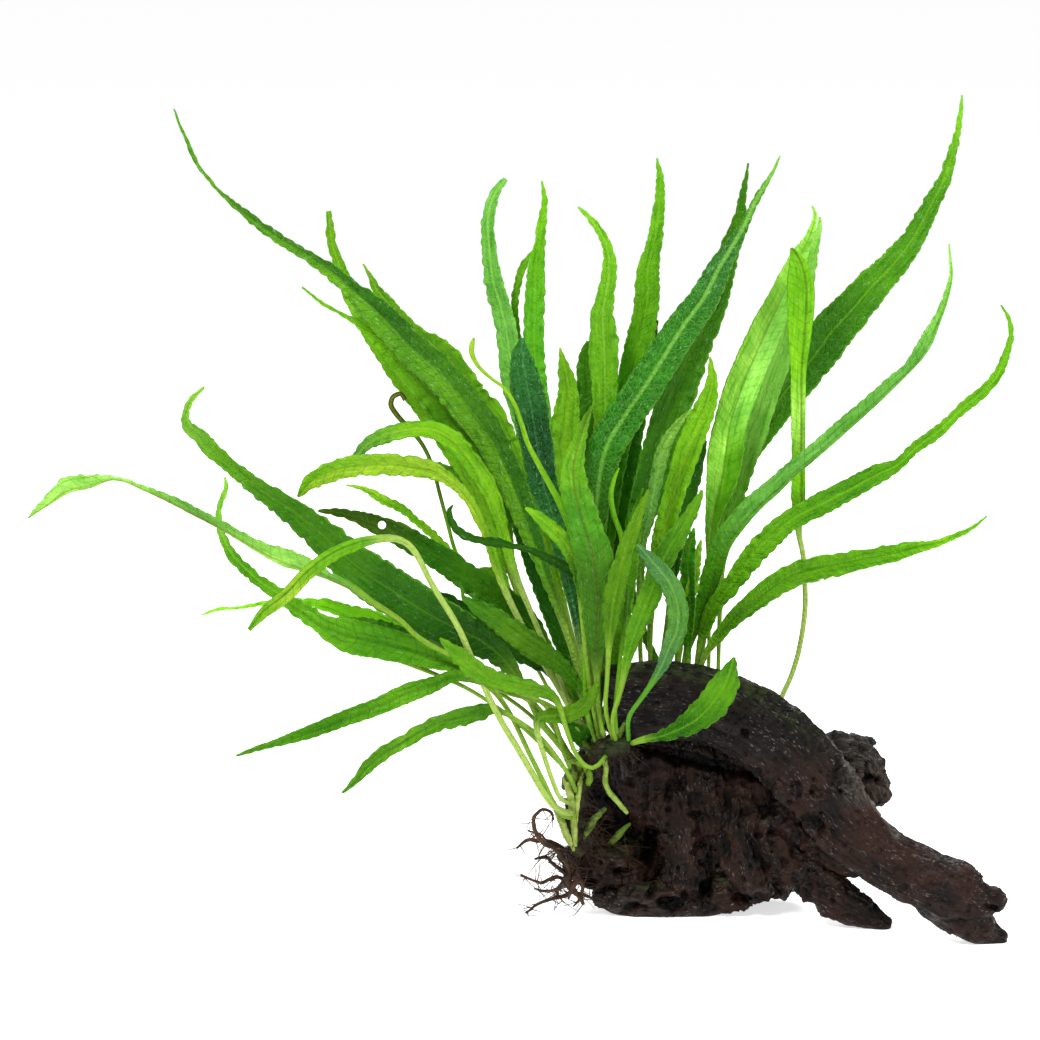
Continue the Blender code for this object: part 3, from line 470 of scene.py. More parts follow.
def path_frames(centres: Array, outward: Array | None = None) -> tuple[Array, Array, Array]:
    """Directions along, across and outward at each point of a path.

    Args:
        centres: the path.
        outward: the wished outward directions, or nothing for a steady frame.

    Returns:
        Three arrays of unit rows: along, across and outward.
    """
    along = unit(np.gradient(centres, axis=0))
    if outward is None:
        outward = np.empty_like(along)
        side = np.array([0.0, -1.0, 0.0])
        for i, direction in enumerate(along):
            side = side - direction * (side @ direction)
            side = side / max(np.linalg.norm(side), TINY)
            outward[i] = side
    else:
        outward = unit(outward - along * np.sum(along * outward, axis=1, keepdims=True))
    return along, np.cross(along, outward), outward


@dataclass(frozen=True)
class Tube:
    """A round tube along a path."""

    centres: Array
    radii: Array
    around: int

    def rings(self) -> Array:
        """The points of its skin, by ring, by place round the ring, by axis."""
        _, across, outward = path_frames(self.centres)
        turn = np.linspace(0, 2 * math.pi, self.around, endpoint=False)[None, :, None]
        ring = np.cos(turn) * across[:, None] + np.sin(turn) * outward[:, None]
        return self.centres[:, None] + ring * self.radii[:, None, None]

    def rough_rings(self, lumps: Array) -> Array:
        """Its rings with lumps on them."""
        rings = self.rings()
        return rings + unit(rings - self.centres[:, None]) * lumps[..., None]


@dataclass(frozen=True)
class Strand:
    """A path in the picture with a depth and a radius in mm at each point."""

    route: str

    def sampled(self, steps: int) -> tuple[Array, Array]:
        """Points and radii in metres along the smooth path."""
        rows = curve_through(read_route(self.route), steps)
        return VIEW.seen_at(rows[:, 0], rows[:, 1], rows[:, 2]), rows[:, 3] * MM


def strands(*routes: str) -> tuple[Strand, ...]:
    """Several strands, one a route."""
    return tuple(Strand(route) for route in routes)


class Graph:
    """A short way to wire a material's nodes."""

    def __init__(self, name: str) -> None:
        """Starts a material with an empty Principled surface."""
        self.material = bpy.data.materials.new(name)
        self.material.use_nodes = True
        self.tree = self.material.node_tree
        self.surface = self.tree.nodes["Principled BSDF"]

    def node(self, kind: str, **settings: object) -> bpy.types.Node:
        """A new node with these settings."""
        made = self.tree.nodes.new(kind)
        for key, value in settings.items():
            setattr(made, key, value)
        return made

    def feed(self, socket: Socket, value: object) -> None:
        """Links a socket to another, or sets its number, vector or colour."""
        if isinstance(value, Socket):
            self.tree.links.new(value, socket)
        elif socket.type == "RGBA" and len(value) == 3:
            socket.default_value = (*value, 1.0)
        else:
            socket.default_value = value

    def fed(self, kind: str, output: int | str, inputs: dict[int | str, object],
            **settings: object) -> Socket:
        """One output of a new node, whose inputs are fed by place or name."""
        made = self.node(kind, **settings)
        for key, value in inputs.items():
            self.feed(made.inputs[key], value)
        return made.outputs[output]

    def math(self, operation: str, *values: object) -> Socket:
        """One sum on numbers."""
        return self.fed("ShaderNodeMath", 0, dict(enumerate(values)), operation=operation)

    def ramp(self, value: object, low: float, high: float, start: float = 0.0,
             end: float = 1.0) -> Socket:
        """A smooth step of a value from start to end, between low and high."""
        return self.fed(
            "ShaderNodeMapRange", 0,
            {"Value": value, "From Min": low, "From Max": high, "To Min": start, "To Max": end},
            interpolation_type="SMOOTHSTEP")

    def mix(self, share: object, first: object, second: object, blend: str = "MIX") -> Socket:
        """Two colours mixed, by the second one's share."""
        return self.fed("ShaderNodeMix", 2, {0: share, 6: first, 7: second},
                        data_type="RGBA", blend_type=blend, clamp_factor=True)

    def colours(self, value: object, stops: Sequence[tuple[float, Rgb]]) -> Socket:
        """A ramp of colours over a value, from stops at places from 0 to 1."""
        made = self.node("ShaderNodeValToRGB")
        band = made.color_ramp
        band.interpolation = "EASE"
        while len(band.elements) < len(stops):
            band.elements.new(0.5)
        for element, (place, colour) in zip(band.elements, stops):
            element.position = place
            element.color = (*colour, 1.0)
        self.feed(made.inputs[0], value)
        return made.outputs[0]

    def map_place(self, name: str) -> Socket:
        """The place on a UV map."""
        return self.node("ShaderNodeUVMap", uv_map=name).outputs[0]

    def parts(self, vector: Socket) -> tuple[Socket, Socket]:
        """The first two numbers of a vector."""
        made = self.node("ShaderNodeSeparateXYZ")
        self.feed(made.inputs[0], vector)
        return made.outputs[0], made.outputs[1]

    def mark(self, name: str, output: str = "Fac") -> Socket:
        """What is kept at the points under a name."""
        return self.node("ShaderNodeAttribute", attribute_name=name).outputs[output]

    def spot(self) -> Socket:
        """The place on the object, in metres."""
        return self.node("ShaderNodeTexCoord").outputs["Object"]

    def stretched(self, vector: object, scale: Sequence[float]) -> Socket:
        """A vector scaled on each axis."""
        return self.fed("ShaderNodeMapping", 0, {"Vector": vector, "Scale": scale})

    def noise(self, vector: object, scale: float, detail: float = 3.0,
              roughness: float = 0.55) -> Socket:
        """Noise from 0 to 1."""
        return self.fed("ShaderNodeTexNoise", "Fac", {
            "Vector": vector, "Scale": scale, "Detail": detail, "Roughness": roughness})

    def cells(self, vector: object, scale: float, feature: str = "F1") -> Socket:
        """Distance in a pattern of cells."""
        return self.fed(
            "ShaderNodeTexVoronoi", "Distance", {"Vector": vector, "Scale": scale}, feature=feature)

    def bump(self, height: object, distance: float, strength: float = 1.0,
             under: Socket | None = None) -> Socket:
        """A normal raised by a height.

        Args:
            height: the height, from 0 to 1.
            distance: how high 1 is, in metres.
            strength: how much of it shows.
            under: a bumped normal that this one goes on top of.

        Returns:
            The normal.
        """
        inputs = {"Height": height, "Distance": distance, "Strength": strength}
        if under is not None:
            inputs["Normal"] = under
        return self.fed("ShaderNodeBump", 0, inputs)

    def finish(self, colour: object, roughness: object, normal: Socket | None = None,
               **fixed: float | Row) -> bpy.types.Material:
        """Wires the surface.

        Args:
            colour: its base colour.
            roughness: its roughness.
            normal: its bumped normal, if it has one.
            fixed: set values by the input's name, with _ for each space.

        Returns:
            The material.
        """
        self.feed(self.surface.inputs["Base Color"], colour)
        self.feed(self.surface.inputs["Roughness"], roughness)
        if normal is not None:
            self.feed(self.surface.inputs["Normal"], normal)
        for key, value in fixed.items():
            self.surface.inputs[key.replace("_", " ")].default_value = value
        return self.material


@dataclass(frozen=True)
class Look:
    """What sets one frond's looks apart. Angles are in degrees and the rib's width is in mm.

    A place across the blade runs from -1 to 1, and 1 is the right edge of a frond that points up.
    """

    tones: str
    stalk: Tone = Tone.STALK
    rib: Tone = Tone.LIME
    rib_at: float = 0.0
    rib_mark: float = 0.38
    rib_wide: float = 0.55
    fold: float = 0.32
    roll: float = 0.0
    ruffle: float = 1.0
    blister: float = 0.6
    gloss: float = 0.5
    # half: a lighter tone painted on the blade's left half, as painted light on that side of its fold.
    half: Tone | None = None
    spots: float = 0.0
    # light: scales all of the frond's tones; it carries both the frond's own brightness and painted light
    # and shade for where it stands in the light.
    light: float = 1.0

    @property
    def blade(self) -> list[Tone]:
        """The blade's tones from its start to its tip."""
        return [Tone[word.upper()] for word in self.tones.split()]


@dataclass(frozen=True)
class LeafFinish:
    """The skin of a frond: tone along the blade, veins, blisters between them, a wet gloss, painted glints,
    and painted shade and highlights in streaks.

    Sizes on the blade are in mm and scales are waves a metre. Two colours multiply its own tone: a dark one
    for random mottling and painted shade in dark streaks, and lift, a light one for random patches and
    painted highlights in light streaks.
    """

    look: Look
    gain: float = 0.66
    stalk_gain: float = 0.8
    vein_spacing: float = 3.6
    vein_slant: float = 0.75
    vein_wander: float = 1.6
    vein_share: float = 0.28
    net_size: float = 1.5
    last_tone_at: float = 0.97
    mottle_scale: float = 85.0
    patch_scale: float = 42.0
    wander_scale: float = 240.0
    wet_scale: float = 130.0
    grit_scale: float = 900.0
    streak_stretch: Row = (0.75, 0.07, 1.0)
    glint_stretch: Row = (1.3, 0.30, 1.0)
    groove_stretch: Row = (2.2, 0.12, 1.0)
    fleck_stretch: Row = (1.0, 0.35, 1.0)
    net_stretch: Row = (1.0, 0.7, 1.0)
    blister_height: float = 0.32 * MM
    groove_height: float = 0.18 * MM
    under_tone: Tone = Tone.GREY_LEAF
    # Darkens the random mottle, and paints shade in dark streaks along the blade.
    mottle_and_painted_shade: Rgb = (0.42, 0.62, 0.34)
    # Lightens random patches, and paints highlights in light streaks along the blade.
    lift: Rgb = (1.9, 1.55, 2.2)
    # Painted glint: a pale wet highlight painted on glossy blades.
    painted_glint: Rgb = (0.30, 0.55, 0.28)

    def lit(self, tone: Tone) -> Rgb:
        """A tone of the blade, as bright as this frond is."""
        return tone.linear(self.gain * self.look.light)

    def blade(self, g: Graph, size: Socket, share: Socket, across: Socket) -> Socket:
        """The blade's colour, with its mottling and patches, painted shade and painted highlights in
        streaks, and a lighter painted half where it has one.

        Args:
            g: the material's nodes.
            size: the place on the blade in mm.
            share: the place along it, from 0 to 1.
            across: the place across it, from -1 to 1.

        Returns:
            The colour.
        """
        tones = self.look.blade
        places = map(float, np.linspace(0.0, self.last_tone_at, len(tones)))
        blade = g.colours(share, [(place, self.lit(tone)) for place, tone in zip(places, tones)])
        # A lighter tone painted on the left half: painted light on that side of the fold.
        if self.look.half:
            blade = g.mix(g.ramp(across, 0.02, -0.06), blade, self.lit(self.look.half))
        mottle = g.noise(g.spot(), self.mottle_scale, 4.0)
        blade = g.mix(g.ramp(mottle, 0.42, 0.68, 0.0, 0.6), blade, self.mottle_and_painted_shade, "MULTIPLY")
        # Dark and light streaks along the blade: painted shade and painted highlights.
        streaks = g.noise(g.stretched(size, self.streak_stretch), 1.0, 4.0, 0.6)
        blade = g.mix(g.ramp(streaks, 0.50, 0.34, 0.0, 0.75), blade, self.mottle_and_painted_shade, "MULTIPLY")
        blade = g.mix(g.ramp(streaks, 0.54, 0.74, 0.0, 0.60), blade, self.lift, "MULTIPLY")
        patch = g.noise(g.spot(), self.patch_scale, 2.0)
        return g.mix(g.ramp(patch, 0.5, 0.72, 0.0, 0.45), blade, self.lift, "MULTIPLY")

    def side_veins(self, g: Graph, along: Socket, from_rib: Socket) -> Socket:
        """Where the slanted side veins are.

        Args:
            g: the material's nodes.
            along: the length along the blade in mm.
            from_rib: the distance from its rib in mm.

        Returns:
            1 on a vein and 0 away from it.
        """
        slanted = g.math("SUBTRACT", along, g.math("MULTIPLY", from_rib, self.vein_slant))
        wander = g.math("MULTIPLY", g.noise(g.spot(), self.wander_scale, 1.0), self.vein_wander)
        turn = g.math("PINGPONG", g.math("ADD", slanted, wander), self.vein_spacing / 2)
        return g.ramp(turn, 0.30, 0.0)

    def stalk(self, g: Graph, size: Socket, streak: Socket) -> Socket:
        """The stalk's colour.

        Args:
            g: the material's nodes.
            size: the place on the frond in mm.
            streak: the grooves along it.

        Returns:
            The colour.
        """
        light, dark = (tone.linear(self.stalk_gain) for tone in (self.look.stalk, Tone.FOREST))
        stalk = g.mix(g.ramp(streak, 0.45, 0.75, 0.0, 0.5), light, dark)
        flecks = g.cells(g.stretched(size, self.fleck_stretch), 0.9)
        return g.mix(g.ramp(flecks, 0.22, 0.08, 0.0, 0.55), stalk, Tone.BROWN.linear())

    def material(self, name: str) -> bpy.types.Material:
        """Wires the finish.

        Args:
            name: the material's name.

        Returns:
            The material.
        """
        g = Graph(name)
        look = self.look
        size = g.map_place("size")
        aside, along = g.parts(size)
        across, share = g.parts(g.map_place("share"))
        from_rib = g.math("ABSOLUTE", g.math("SUBTRACT", aside, g.mark("rib_offset")))
        side_vein = self.side_veins(g, along, from_rib)
        net = g.cells(g.stretched(size, self.net_stretch), 1 / self.net_size, "DISTANCE_TO_EDGE")
        vein = g.math("MAXIMUM", g.ramp(net, 0.10, 0.0, 0.0, 0.5), side_vein)
        rib_line = g.math("MULTIPLY", g.ramp(from_rib, look.rib_wide, look.rib_wide * 0.2), look.rib_mark)
        painted_glint = g.noise(g.stretched(size, self.glint_stretch), 1.0, 3.0, 0.7)

        skin = self.blade(g, size, share, across)
        skin = g.mix(g.math("MULTIPLY", vein, self.vein_share), skin, self.lit(look.rib))
        skin = g.mix(rib_line, skin, self.lit(look.rib))
        edge = g.ramp(g.math("ABSOLUTE", across), 0.88, 1.0, 0.0, 0.25)
        skin = g.mix(edge, skin, self.lit(Tone.LIME))
        if look.spots:
            dots = g.ramp(g.cells(size, 0.55), 0.30, 0.12, 0.0, look.spots)
            skin = g.mix(dots, skin, Tone.BROWN.linear())
        # Pale glints painted on glossy blades: painted highlights.
        skin = g.mix(g.ramp(painted_glint, 0.60, 0.70, 0.0, 0.42 * look.gloss), skin, self.painted_glint)
        skin = g.mix(g.math("MULTIPLY", g.mark("under"), 0.5), skin, self.lit(self.under_tone))
        streak = g.noise(g.stretched(size, self.groove_stretch), 1.0, 3.0)
        colour = g.mix(g.ramp(share, -0.10, 0.10), self.stalk(g, size, streak), skin)

        quilt = g.math("SUBTRACT", g.ramp(net, 0.0, 0.34), g.math("MULTIPLY", side_vein, 0.8))
        grit = g.math("MULTIPLY", g.noise(g.spot(), self.grit_scale, 3.0), 0.35)
        raised = g.bump(g.math("ADD", quilt, grit), self.blister_height * look.blister, 0.9)
        grooves = g.bump(streak, self.groove_height, 0.8, under=raised)
        rough = g.ramp(g.noise(g.spot(), self.wet_scale, 2.0), 0.35, 0.65, 0.20, 0.42)
        return g.finish(
            colour, g.math("MULTIPLY", rough, 1.35 - 0.6 * look.gloss), grooves,
            Specular_IOR_Level=0.02 + 0.08 * look.gloss, Subsurface_Weight=0.20,
            Subsurface_Radius=(0.5, 1.0, 0.15), Subsurface_Scale=1.0 * MM)


@dataclass(frozen=True)
class WoodFinish:
    """Dark soaked wood: long grain, cracks, grey crests that are partly painted light, moss on top, painted
    shade in hollows and pits, and painted wet glints as specks.

    Stretches and scales are waves a metre.
    """

    dark: Rgb = (0.0016, 0.0012, 0.0010)
    brown: Rgb = (0.010, 0.0062, 0.0042)
    red: Rgb = (0.022, 0.0085, 0.0052)
    fibre: Rgb = (0.055, 0.040, 0.031)
    # Grey of the foot, the knob and the slab's crest; on the crest it is partly painted light.
    grey: Rgb = (0.13, 0.118, 0.10)
    moss: Rgb = (0.035, 0.055, 0.012)
    # Near-black painted into hollows and pits: painted shade.
    hollow: Rgb = (0.0015, 0.0012, 0.0010)
    # Pale specks painted where the wood is wet: painted glints.
    painted_wet_glint: Rgb = (0.24, 0.22, 0.20)
    fibre_stretch: Row = (1500.0, 130.0, 900.0)
    band_stretch: Row = (420.0, 40.0, 300.0)
    glint_stretch: Row = (2600.0, 520.0, 1600.0)
    pit_scale: float = 480.0
    pit_depth: float = 0.45 * MM
    fibre_depth: float = 0.55 * MM
    grit_depth: float = 0.12 * MM

    def base(self, g: Graph, grain: Socket, fibre: Socket) -> Socket:
        """The dry colour: bands, red and pale fibres, moss, grey crests that are partly painted light, and
        painted shade in the hollows and pits.

        Args:
            g: the material's nodes.
            grain: the place along and round the strand.
            fibre: the fine fibres, from 0 to 1.

        Returns:
            The colour.
        """
        spot = g.spot()
        band = g.noise(g.stretched(grain, self.band_stretch), 1.0)
        base = g.mix(g.ramp(band, 0.38, 0.66), self.dark, self.brown)
        cloud = g.ramp(g.noise(spot, 70.0), 0.35, 0.62)
        base = g.mix(g.math("MULTIPLY", g.mark("red"), cloud), base, self.red)
        base = g.mix(g.ramp(fibre, 0.55, 0.78, 0.0, 0.55), base, self.fibre)
        tuft = g.ramp(g.noise(spot, 260.0), 0.42, 0.6)
        base = g.mix(g.math("MULTIPLY", g.mark("moss"), tuft), base, self.moss)
        # Grey on the crest, foot and knob; on the slab's crest it is partly painted light.
        crest = g.math("MULTIPLY", g.mark("crest"), g.ramp(fibre, 0.40, 0.62, 0.12, 1.0))
        base = g.mix(crest, base, self.grey)
        # Painted shade: near-black in the hollows and pits.
        return g.mix(g.mark("deep"), base, self.hollow)

    def material(self, name: str) -> bpy.types.Material:
        """Wires the finish.

        Args:
            name: the material's name.

        Returns:
            The material.
        """
        g = Graph(name)
        spot = g.spot()
        grain = g.mark("grain", "Vector")
        fibre = g.noise(g.stretched(grain, self.fibre_stretch), 1.0, 4.0, 0.65)
        # Painted glints: pale specks along the grain in wet patches, kept out of the painted shade.
        painted_glint = g.noise(g.stretched(grain, self.glint_stretch), 1.0, 2.0, 0.6)
        wet = g.ramp(g.noise(spot, 120.0), 0.46, 0.58)
        dots = g.math("MULTIPLY", g.ramp(painted_glint, 0.60, 0.72), wet)
        dots = g.math("MULTIPLY", dots, g.math("SUBTRACT", 1.0, g.mark("deep")))
        colour = g.mix(g.math("MULTIPLY", dots, 0.55), self.base(g, grain, fibre), self.painted_wet_glint)
        pits = g.ramp(g.cells(spot, self.pit_scale), 0.05, 0.45)
        skin = g.bump(pits, self.pit_depth, 0.8)
        skin = g.bump(fibre, self.fibre_depth, under=skin)
        skin = g.bump(g.noise(spot, 1500.0), self.grit_depth, 0.8, under=skin)
        rough = g.ramp(g.noise(spot, 160.0, 2.0), 0.38, 0.62, 0.26, 0.62)
        rough = g.math("ADD", rough, g.math("MULTIPLY", g.mark("crest"), 0.25))
        return g.finish(colour, rough, skin, Specular_IOR_Level=0.12)


@dataclass(frozen=True)
class FibreFinish:
    """Rhizome and root skin: brown and green with short dark streaks."""

    light: Rgb = (0.026, 0.021, 0.009)
    dark: Rgb = (0.006, 0.005, 0.003)
    patch: Rgb = (0.022, 0.044, 0.006)
    patch_share: float = 0.5
    wet: float = 0.14
    mottle_depth: float = 0.45 * MM
    pit_depth: float = 0.22 * MM

    def material(self, name: str) -> bpy.types.Material:
        """Wires the finish.

        Args:
            name: the material's name.

        Returns:
            The material.
        """
        g = Graph(name)
        spot = g.spot()
        mottle = g.noise(spot, 420.0, 4.0, 0.65)
        colour = g.mix(g.ramp(mottle, 0.36, 0.62), self.dark, self.light)
        patch = g.ramp(g.noise(spot, 130.0, 2.0), 0.44, 0.60, 0.0, self.patch_share)
        skin = g.bump(mottle, self.mottle_depth, 0.9)
        skin = g.bump(g.cells(spot, 900.0), self.pit_depth, 0.8, under=skin)
        return g.finish(g.mix(patch, colour, self.patch), g.ramp(mottle, 0.3, 0.7, 0.34, 0.6), skin,
                        Specular_IOR_Level=self.wet)


@dataclass(frozen=True)
class Core:
    """The rhizomes that the fronds grow from, as a row of balls."""

    points: Array
    radii: Array

    def nearest(self, place: Array) -> tuple[Array, float]:
        """The middle and radius of the ball nearest to a place."""
        i = int(np.argmin(np.linalg.norm(self.points - place, axis=1) - self.radii))
        return self.points[i], self.radii[i]


@dataclass(frozen=True)
class Spine:
    """A frond's middle line at each of its rings, with what its blade is laid out by."""

    lengths: Array
    centres: Array
    over: Array
    out: Array
    widths: Array
    half: Array
    leafy: Array
    share: Array


@dataclass(frozen=True)
class Margin:
    """How a blade's margin is scalloped and ruffled, and how the blade is quilted inside it."""

    gap: float = 3.5 * MM
    least_gap: float = 0.9
    gap_spread: float = 0.25
    scallop: float = 0.42 * MM
    scallop_share: float = 0.40
    jitter: float = 0.9
    jitter_gap: float = 11 * MM
    lump: float = 0.8
    lump_gap: float = 8.5 * MM
    small_lump: float = 0.35
    small_lump_gap: float = 2.1 * MM
    ruffle: float = 0.75 * MM
    ruffle_share: float = 0.24
    ruffle_gaps: float = 1.9
    small_ruffle: float = 0.3
    swell_gap: float = 9 * MM
    quilt: float = 0.16 * MM
    calm: float = 0.15

    def side(self, sign: int, spine: Spine, blade: Array, look: Look, number: int,
             noise: Noise) -> tuple[Array, Array]:
        """Shapes one side of a blade.

        Args:
            sign: -1 for its left side and 1 for its right.
            spine: the frond's middle line.
            blade: each point's place from 0 at the middle to 1 at the margin.
            look: the frond's looks.
            number: the frond's place in the list.
            noise: its noise.

        Returns:
            How far each point stands aside from the middle line, and how far it is lifted.
        """
        lengths, half = spine.lengths, spine.half
        gap = self.gap * (self.least_gap + self.gap_spread * (number % 5) / 4)
        waving = spine.leafy * (self.calm if look.rib_at * sign > 0.3 else 1.0)
        jitter = noise.along(lengths, self.jitter_gap, 7 * sign) * self.jitter
        beat = lengths / gap + jitter + 0.31 * sign
        scallop = np.abs(np.sin(math.pi * beat)) ** 0.6 - 0.62
        lump = noise.along(lengths, self.lump_gap, 11 * sign) * self.lump
        lump = lump + noise.along(lengths, self.small_lump_gap, 5 * sign) * self.small_lump
        reach = np.minimum(self.scallop * look.ruffle, self.scallop_share * half) * waving
        aside = blade * half[:, None] + blade**4 * (reach * (scallop + lump))[:, None]

        swing = np.sin(2 * math.pi * (lengths / (gap * self.ruffle_gaps) + jitter * 0.6 + 0.4 * sign))
        swing = swing + self.small_ruffle * np.sin(2 * math.pi * (beat * 0.97 + 0.2))
        swell = np.clip(0.65 + 0.9 * noise.along(lengths, self.swell_gap, 13 * sign), 0.15, 1.4)
        height = np.minimum(self.ruffle_share * half, self.ruffle) * look.ruffle * waving * swell
        vein = (lengths[:, None] - blade * half[:, None] * 0.75) / gap
        quilt = np.cos(2 * math.pi * (vein + jitter[:, None])) * blade * (1 - blade**5)
        quilt = quilt * self.quilt * (0.5 + look.blister) * spine.leafy[:, None]
        return aside * sign, (swing * height)[:, None] * blade**2.4 + quilt


@dataclass
class Frond:
    """One frond: a round stalk that opens into a ruffled, quilted blade along a route.

    The route is a place in the picture and a width in mm a point, the sway is in mm, and the hole
    is a place and a radius in the picture. A layer runs from -1 at the front to 1 at the back.
    """

    name: str
    side: Side
    layer: float
    route: str
    look: Look
    sway: float = 0.0
    hole: tuple[float, float, float] | None = None
    solid: bool = True
    route_steps: int = 10
    foot_share: float = 0.04
    base_blend: float = 0.14
    clear_share: float = 0.5
    base_gap: float = 0.36 * MM
    clear_gap: float = 0.48 * MM
    row_gap: float = 0.55 * MM
    stalk_row_gap: float = 2.2 * MM
    open_at: float = 1.32
    least_blade: float = 2.5 * MM
    open_reach: Span = (4 * MM, 7 * MM)
    drift: float = 0.9 * MM
    drift_gap: float = 26 * MM
    ring_points: tuple[int, int] = (14, 36)
    margin: Margin = Margin()
    leaf_thick: float = 0.16 * MM
    rib_thick: float = 0.42 * MM
    rib_half: float = 0.55 * MM
    blister_depth: float = 0.20 * MM
    blister_gaps: Span = (2.4 * MM, 3.2 * MM)
    cutter_length: float = 16 * MM

    def placed(self, rows: Array, over: float = 0.0, down: float = 0.0) -> Array:
        """Points of the route in space.

        Args:
            rows: the route's points.
            over: how many pixels right of the route they are.
            down: how many pixels below it they are.

        Returns:
            The points in metres, one a row.
        """
        share = np.arange(len(rows)) / (len(rows) - 1)
        across, down = rows[:, 0] + over, rows[:, 1] + down
        depth = FAN.depth(across, down, self.layer, self.side) + self.sway * share**2
        return VIEW.seen_at(across, down, depth)

    def centreline(self, core: Core) -> tuple[Array, Array, Array]:
        """The frond's middle line, led off the rhizome and clear of it.

        Args:
            core: the rhizomes.

        Returns:
            Points, outward directions and widths in metres.
        """
        rows = curve_through(read_route(self.route), self.route_steps)
        widths = rows[:, 2] * MM
        centres = self.placed(rows)
        outward = np.cross(self.placed(rows, 1, 0) - centres, self.placed(rows, 0, -1) - centres)
        lengths = arc_lengths(centres)
        foot = int(np.argmax(lengths > self.foot_share * lengths[-1]))
        hold, radius = core.nearest(centres[foot])
        shift = hold + unit(centres[foot] - hold) * (radius + self.base_gap) - centres[0]
        left = np.clip(1 - lengths / (self.base_blend * lengths[-1]), 0, None)
        centres = centres + shift * (left * left)[:, None]
        for i in np.nonzero(lengths < self.clear_share * lengths[-1])[0]:
            half = widths[i] / 2
            clearance = self.clear_gap + half * float(smooth_step(0, 3 * half, lengths[i]))
            hold, radius = core.nearest(centres[i])
            gap = centres[i] - hold
            short = radius + clearance - np.linalg.norm(gap)
            centres[i] += unit(gap) * max(short, 0.0)
        return centres, unit(outward), widths

    def stations(self, full: Array, widths: Array) -> tuple[Array, float]:
        """Where along the frond it gets a ring.

        Args:
            full: the lengths along its middle line.
            widths: its widths there.

        Returns:
            The rings' lengths, and the length where the blade opens.
        """
        opened = np.nonzero(widths > max(self.open_at * widths[0], self.least_blade))[0]
        start = float(full[opened[0]]) if len(opened) else 0.0
        rows = max(int(start / self.stalk_row_gap), 2)
        stalk = np.linspace(0, start, rows, endpoint=False) if start else np.empty(0)
        blade = np.linspace(start, full[-1], max(int((full[-1] - start) / self.row_gap), 8))
        return np.concatenate([stalk, blade]), start

    def spine(self, core: Core, noise: Noise) -> Spine:
        """Lays out the frond's middle line.

        Args:
            core: the rhizomes.
            noise: the frond's noise.

        Returns:
            The middle line at each ring.
        """
        centres, outward, widths = self.centreline(core)
        full = arc_lengths(centres)
        lengths, start = self.stations(full, widths)
        centres, outward, widths = (
            at_lengths(full, values, lengths) for values in (centres, outward, widths))
        if start:
            leafy = smooth_step(start - self.open_reach[0], start + self.open_reach[1], lengths)
        else:
            leafy = np.full(len(lengths), float(widths.max() > self.least_blade))
        span = np.where(lengths < start, max(start, TINY), full[-1] - start)
        _, over, out = path_frames(centres, outward)
        roll = np.radians(self.look.roll) * leafy
        cos, sin = np.cos(roll)[:, None], np.sin(roll)[:, None]
        over, out = over * cos + out * sin, out * cos - over * sin
        drift = noise.along(lengths, self.drift_gap, 3) * self.drift * leafy
        centres = centres + out * (drift * smooth_step(0, 5 * MM, widths))[:, None]
        half = widths / 2 / np.cos(roll)
        return Spine(lengths, centres, over, out, widths, half, leafy, (lengths - start) / span)

    def section(self, spine: Spine) -> tuple[Array, Array, Array]:
        """How the points lie round each ring.

        Args:
            spine: the middle line.

        Returns:
            Places from -1 to 1 across the frond, by ring and point; how high a round stalk's
            points are, from -1 to 1; and which points are on the upper face.
        """
        around = 2 * round(spine.widths.max() / MM * 1.15) + 8
        around = int(np.clip(around, *self.ring_points))
        turn = np.arange(around) / around
        top = turn < 0.5
        flat = np.where(top, -1 + 4 * turn, 3 - 4 * turn)
        flat = np.sign(flat) * np.abs(flat) ** 0.86
        leafy = spine.leafy[:, None]
        place = flat * leafy - np.cos(2 * math.pi * turn) * (1 - leafy)
        return place, np.sin(2 * math.pi * turn), top

    def skin(self, spine: Spine, place: Array, top: Array) -> Array:
        """How far the two faces stand off the blade's middle.

        Args:
            spine: the middle line.
            place: each point's place across the blade.
            top: which points are on the upper face.

        Returns:
            The heights in metres, upper face up and lower face down.
        """
        half = spine.half[:, None]
        rib = np.exp(-((place - self.look.rib_at) * half / self.rib_half) ** 2)
        thinning = (1 - 0.6 * np.clip(spine.share, 0, 1))[:, None]
        thick = self.leaf_thick * np.sqrt(np.clip(1 - place**6, 0.02, 1))
        thick = thick + (self.rib_thick - self.leaf_thick) * rib * thinning
        taper = np.clip(half / (1.2 * MM), 0.25, 1.0)
        return thick * taper * np.where(top, 1.0, -1.0) * (np.abs(place) < 0.9999)

    def surface(self, spine: Spine, place: Array, number: int, noise: Noise) -> tuple[Array, Array]:
        """Lays the blade's middle surface.

        Args:
            spine: the middle line.
            place: each point's place across the blade.
            number: the frond's place in the list.
            noise: its noise.

        Returns:
            How far each point stands aside, and how far it is lifted by ruffles, quilting, the
            fold at the rib and blisters.
        """
        look, half, leafy = self.look, spine.half[:, None], spine.leafy[:, None]
        aside, rise = np.zeros_like(place), np.zeros_like(place)
        for sign in (-1, 1):
            own = place * sign > 0
            shaped = self.margin.side(sign, spine, np.abs(place), look, number, noise)
            aside, rise = np.where(own, shaped[0], aside), np.where(own, shaped[1], rise)
        from_rib = np.abs(place - look.rib_at)
        crease = look.fold * half * (from_rib - 0.35 * from_rib**2) * leafy
        bow = -0.05 * half * place**2 * leafy
        along = np.broadcast_to(spine.lengths[:, None] / self.blister_gaps[1], aside.shape)
        spots = np.stack([aside / self.blister_gaps[0], along, np.zeros_like(aside)], axis=-1)
        blister = noise.layered(spots, 2) * self.blister_depth * look.blister * leafy
        return aside, rise + crease + bow + blister

